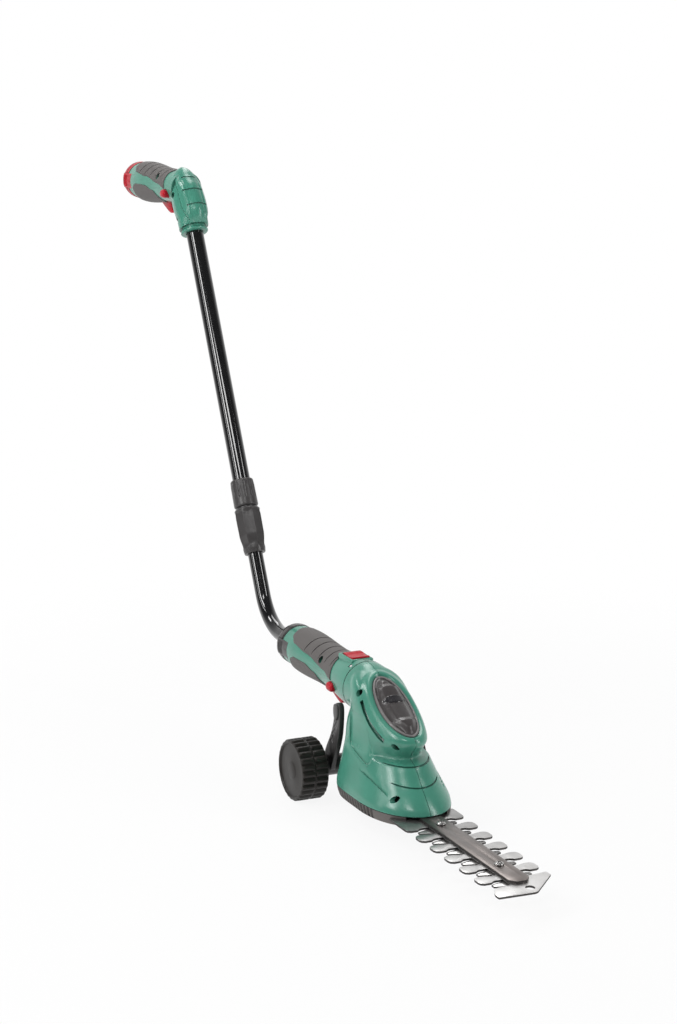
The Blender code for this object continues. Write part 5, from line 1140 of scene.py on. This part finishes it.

# Blades
# Stamped and ground steel: a fixed comb, a moving cutter under it and a browned guide plate on top, held
# by two cross-headed screws. The comb's teeth have rounded tips and a hook in front, and the blades' side
# faces are dull sheared steel, painted darker as shade.


def honed(name, offset, segments=2):
    """A copy of a CAD node's mesh with its hard edges softened."""
    mesh = bmesh.new()
    mesh.from_mesh(bpy.data.objects[name].data)
    bmesh.ops.remove_doubles(mesh, verts=mesh.verts, dist=1e-6)
    hard = [edge for edge in mesh.edges if len(edge.link_faces) == 2 and edge.calc_face_angle(0) > 0.6]
    bevelled(mesh, hard, offset / 1000, segments, clamp=True)
    bmesh.ops.recalc_face_normals(mesh, faces=mesh.faces)
    return mesh


def ground_metal(name, colour, roughness, stretch, depth, rear_tone=1.0):
    """Ground sheet metal: long fine scratches, a cloudy tarnish, and a darker tone toward the blades' rear.
    """
    made, tree, shader = new_finish(name)
    where = node(tree, "TexCoord").outputs["Object"]
    lay = node(tree, "Mapping", {"Vector": where, "Scale": stretch})
    scratch = node(tree, "TexNoise", {"Vector": lay, "Scale": 1.0, "Detail": 4})
    tarnish = node(tree, "TexNoise", {"Vector": where, "Scale": 60, "Detail": 5})
    tone = ramp(tree, tarnish, [c * 0.8 for c in colour], [min(1, c * 1.12) for c in colour], (0.3, 0.75))
    # The colour grows darker toward the blades' rear.
    along = node(tree, "SeparateXYZ", {"Vector": where})
    rear_darkening = node(tree, "MapRange", {"Value": along, "From Min": 0.68, "From Max": 0.85, "To Min": rear_tone})
    rear_darkened = node(tree, "VectorMath", {"Vector": tone, "Scale": rear_darkening}, operation="SCALE")
    polish = node(tree, "MapRange", {"Value": scratch, "To Min": roughness - 0.1, "To Max": roughness + 0.12})
    bump = node(tree, "Bump", {"Strength": depth, "Distance": 0.0001, "Height": scratch})
    feed(tree, shader, {"Metallic": 0.9, "Base Color": rear_darkened, "Roughness": polish, "Normal": bump})
    return made


steel = ground_metal("ground_steel", (0.72, 0.71, 0.7), 0.3, (90, 2200, 2200), 0.12, 0.45)
sheared_and_shaded = ground_metal("sheared_edge_painted_shade", (0.09, 0.085, 0.083), 0.5, (900, 900, 900), 0.2)
browned = ground_metal("guide_steel", (0.24, 0.212, 0.2), 0.34, (90, 1500, 1500), 0.12, 0.5)
bright = ground_metal("screw_steel", (0.5, 0.49, 0.48), 0.28, (900, 900, 900), 0.08)
UNMOVED = Matrix.Identity(4)
COMB_LOW, COMB_HIGH, REACH, ROOT, PITCH, TEETH = -91.3, -89.3, 33.2, 10.5, 27.1, 5
FIRST_TOOTH = {1: 162.0, -1: 174.5}
# One tooth from its rear root round its tip to its front root: place along, distance out
TOOTH = ((-5.6, ROOT), (-5.3, 0.48 * REACH), (-5.9, 0.58 * REACH), (-7.1, 0.68 * REACH), (-7.7, 0.79 * REACH),
         (-7.3, 0.89 * REACH), (-5.8, 0.965 * REACH), (-3.2, REACH), (3.4, REACH), (6.2, 0.965 * REACH),
         (7.9, 0.88 * REACH), (8.0, 0.69 * REACH), (5.4, 0.585 * REACH), (5.1, 0.5 * REACH), (5.4, ROOT))
END_HOOK = ((302.0, -ROOT), (302.5, -0.70 * REACH), (304, -0.82 * REACH), (312, -0.96 * REACH), (316, -REACH),
            (320.5, -REACH), (322, -0.985 * REACH), (323.9, 0.03 * REACH), (322.8, 0.13 * REACH),
            (295, REACH), (289.5, REACH), (287.5, 0.98 * REACH), (289.5, ROOT))
rows = {}
for side in (-1, 1):
    shoulder = FIRST_TOOTH[side] - PITCH
    row = [(78, side * 21), (109.3, side * 21), (119, side * REACH), (shoulder + 3, side * REACH)]
    row.extend((shoulder + x, side * y) for x, y in TOOTH[9:])
    for i in range(TEETH):
        row.extend((FIRST_TOOTH[side] + PITCH * i + x, side * y) for x, y in TOOTH)
    rows[side] = row
comb = plate(rows[-1] + list(END_HOOK) + rows[1][::-1], COMB_LOW, COMB_HIGH, 0.2, axis="Z")
eye = [(313.4 + 4.6 * math.cos(a), 2 + 4.2 * math.sin(a)) for a in (2 * math.pi * i / 40 for i in range(40))]
screw_ways = [rod((x, 0, -100), (x, 0, -80), 2.3) for x in (157, 263.5)]
comb = cut(comb, plate(eye, -100, -80, axis="Z"), *screw_ways)
comb_piece = piece("comb_blade", comb, TRIMMER, steel, "head", ["fixed_blade"], 30)
cutter_piece = piece("cutter_blade", honed("moving_cutter", 0.3), UNMOVED, steel, "cutter", ["moving_cutter"],
                     30)
guide_piece = piece("blade_guide", honed("guide_plate", 0.5), UNMOVED, browned, "head", ["guide_plate"],
                    30)
# Side faces of the blades take a dark, dull finish: partly the sheared steel, partly painted shade.
for made in (comb_piece, cutter_piece, guide_piece):
    made.data.materials.append(sheared_and_shaded)
    for face in made.data.polygons:
        face.material_index = 1 if abs(face.normal.z) < 0.4 else 0

# Screws
# Pan-headed steel screws with a cross recess: two through the blades, and the rest deep in the
# housings' round recesses.


def pan_head(radius, height, shank, length, turn):
    """A screw turned about X, head first at the origin and pointing to +X, with a cross recess."""
    head = turned(((0, 0), (0.12 * height, 0.45 * radius), (0.4 * height, 0.85 * radius),
                   (0.7 * height, radius), (height, radius), (height, shank), (length - shank, shank),
                   (length, 0.4 * shank), (length, 0)), 48)
    tools = []
    for spin in (turn, turn + 90):
        arm = block((-1, -0.68 * radius, -0.16 * radius), (0.6 * height, 0.68 * radius, 0.16 * radius))
        bmesh.ops.rotate(arm, verts=arm.verts, matrix=Matrix.Rotation(math.radians(spin), 3, "X"))
        tools.append(arm)
    return cut(head, *tools)


def fix(name, head_radius, head_height, shank, axis, body, turn):
    """Put a finished screw where a CAD screw is, along its axis."""
    low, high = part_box(name)
    if axis == "Y":
        start, way, length = (low + high) / 2, Vector((0, 1, 0)), (high - low).y
        start = Vector((start.x, low.y, start.z))
    else:
        start, way, length = (low + high) / 2, Vector((0, 0, -1)), (high - low).z
        start = Vector((start.x, start.y, high.z))
    screw = pan_head(head_radius, head_height, shank, 1000 * length, turn)
    spot = Matrix.Translation(start) @ way.to_track_quat("X", "Z").to_matrix().to_4x4() @ MM
    piece(name + "_cross_head", screw, spot, bright, body, [name], 30)


for name, turn in (("blade_screw_rear", 20), ("blade_screw_front", 55)):
    low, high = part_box(name)
    fix(name, 500 * (high - low).x, 2.6, 1.9, "Z", "head", turn)
for name, body, turn in (("handle_screw_top", "handle", 10), ("handle_screw_mid", "handle", 35),
                              ("handle_screw_low", "handle", 70), ("grip_screw_top", "trimmer", 50),
                              ("head_screw_top", "head", 15), ("head_screw_lip", "head", 40),
                              ("head_screw_nose", "head", 65)):
    fix(name, 2.8, 2.0, 1.4, "Y", body, turn)

# Wheel fork, axle and wheels
# A dark plastic fork clips round the neck of the head, holds a steel axle behind it, and carries two hard
# plastic wheels with ridged treads, a groove round the middle and dished faces.
RIDGES, RIDGE_DEPTH = 26, 1.9
AXLE_X, AXLE_Z, AXLE_RADIUS, AXLE_HALF = -26.6, -84.7, 3.0, 61.2
HUB_RADIUS, HUB_HALF, ARM_NEAR, ARM_FAR = 10.0, 38.2, 23.6, 29.4
ARM = ((-6.5, -14.8), (-0.6, -14.6), (2.4, -18.5), (2.2, -32), (0.6, -46), (-5, -62), (-12, -76), (-17, -90),
       (-31, -90), (-34, -80), (-28, -66), (-17, -50), (-10.4, -34), (-9.8, -19))
PAD = ((-7.2, -15.6), (-1.0, -15.4), (1.2, -20), (0.6, -28), (-3.6, -33), (-8.4, -29.5), (-9.4, -20))


def softened(outline, rounds):
    """An outline with its corners cut again and again into curves."""
    for _ in range(rounds):
        outline = [(a[0] * (1 - share) + b[0] * share, a[1] * (1 - share) + b[1] * share)
                   for a, b in zip(outline, outline[1:] + outline[:1]) for share in (0.25, 0.75)]
    return outline


fork = turned(((-HUB_HALF, 0), (-HUB_HALF, HUB_RADIUS - 1.2), (-HUB_HALF + 1.2, HUB_RADIUS),
               (HUB_HALF - 1.2, HUB_RADIUS), (HUB_HALF, HUB_RADIUS - 1.2), (HUB_HALF, 0)), 64)
bmesh.ops.rotate(fork, verts=fork.verts, matrix=Matrix.Rotation(math.pi / 2, 3, "Z"))
bmesh.ops.translate(fork, verts=fork.verts, vec=(AXLE_X, 0, AXLE_Z))
for side in (-1, 1):
    low, high = sorted((side * ARM_NEAR, side * ARM_FAR))
    arm = plate(softened(ARM, 3), low, high, 1.1)
    outer = side * ARM_FAR
    grooves = []
    for z in (-37, -45, -53):
        for way in (-1, 1):
            x, y = -4 + 0.5 * (z + 32), outer + side * 0.3
            grooves.append(rod((x - 3.4 * way, y, z + 3.6), (x + 3.4 * way, y, z - 3.6), 0.75, sides=16))
    arm = cut(arm, *grooves)
    low, high = sorted((side * (ARM_FAR - 1), side * (ARM_FAR + 1.6)))
    fork = joined(fork, arm, plate(softened(PAD, 3), low, high, 0.9))
fork = joined(fork, block((AXLE_X, -14, -93.1), (30, 14, -88.9), 0.5),
              block((AXLE_X, -14, -93.1), (6, 14, -84), 0.5))
fork = cut(fork, rod((AXLE_X, -60, AXLE_Z), (AXLE_X, 60, AXLE_Z), AXLE_RADIUS + 0.2, sides=48))
piece("clip_on_fork", fork, TRIMMER, dark_plastic, "head", ["wheel_fork"], 40)
# Wheel outline from the hub's inner face round the tread: distance from the middle plane, radius, ridging
WHEEL = ((39.2, 3.25, 0), (39.2, 8, 0), (39.8, 9, 0), (40.7, 10.5, 0), (40.7, 25.5, 0), (39.5, 26.8, 0),
         (39.4, 28, 0), (40, 29.4, 0.4), (41.2, 30.2, 1), (42.2, 30.35, 1), (47.2, 30.35, 1),
         (51.8, 30.35, 1), (52.2, 29.9, 0.4), (52.5, 29.3, 0), (53.9, 29.3, 0), (54.2, 29.9, 0.4),
         (54.6, 30.35, 1), (59.2, 30.35, 1), (64.2, 30.35, 1), (65.4, 30.2, 1), (66.6, 29.4, 0.4),
         (67.2, 28, 0), (67.2, 27, 0), (66.6, 26.2, 0), (65.7, 25.6, 0), (65.7, 10, 0), (66.1, 8.8, 0),
         (66.5, 8, 0), (66.5, 0, 0))


def wheel(side):
    rows = len(WHEEL) - 1

    def place(u, v):
        at, radius, ridged = WHEEL[round(v * rows)]
        angle = 2 * math.pi * u
        wave = (0.5 - 0.5 * math.cos(RIDGES * angle)) ** 0.6
        radius -= RIDGE_DEPTH * ridged * (1 - wave)
        return AXLE_X + radius * math.cos(angle), side * at, AXLE_Z + radius * math.sin(angle)
    mesh = skin(RIDGES * 12, rows, place)
    return cut(mesh, rod((AXLE_X, side * 30, AXLE_Z), (AXLE_X, side * (AXLE_HALF + 0.3), AXLE_Z),
                         AXLE_RADIUS + 0.15, sides=48))


wheel_black = moulded("wheel_moulding", (0.0195, 0.0168, 0.0148), 0.4, grain=0.15, specular=0.3)
for side, name in SIDES:
    piece(f"wheel_tread_{name}", wheel(side), TRIMMER, wheel_black, f"wheel_{name}", [f"wheel_{name}"],
          30)

# Works inside
# The pieces hidden in the housings stay as drawn and take their finish here: the drive, contacts,
# switches, springs, cells, the clamp's collet and the tube the head turns on.
nylon = moulded("gear_nylon", (0.62, 0.6, 0.54), 0.4, grain=0.1)
wrapped = moulded("cell_wrap", (0.03, 0.09, 0.2), 0.3, grain=0.05)
black_plastic = moulded("switch_plastic", (0.02, 0.02, 0.021), 0.45)
zinc = ground_metal("zinc_plate", (0.56, 0.56, 0.57), 0.35, (300, 300, 300), 0.08)
WORKS = {wrapped: ["battery_cell_pack"], zinc: ["motor", "gear_plate"], dark_plastic: ["swivel_tube"],
         black_plastic: ["handle_contact_block", "grip_contact_block", "handle_switch", "grip_switch"],
         bright: ["handle_trigger_spring", "grip_trigger_spring", "wheel_axle"],
         nylon: ["clamp_collet", "drive_gear", "motor_pinion"]}
for finish, names in WORKS.items():
    for name in names:
        bpy.data.objects[name].material_slots[0].material = finish
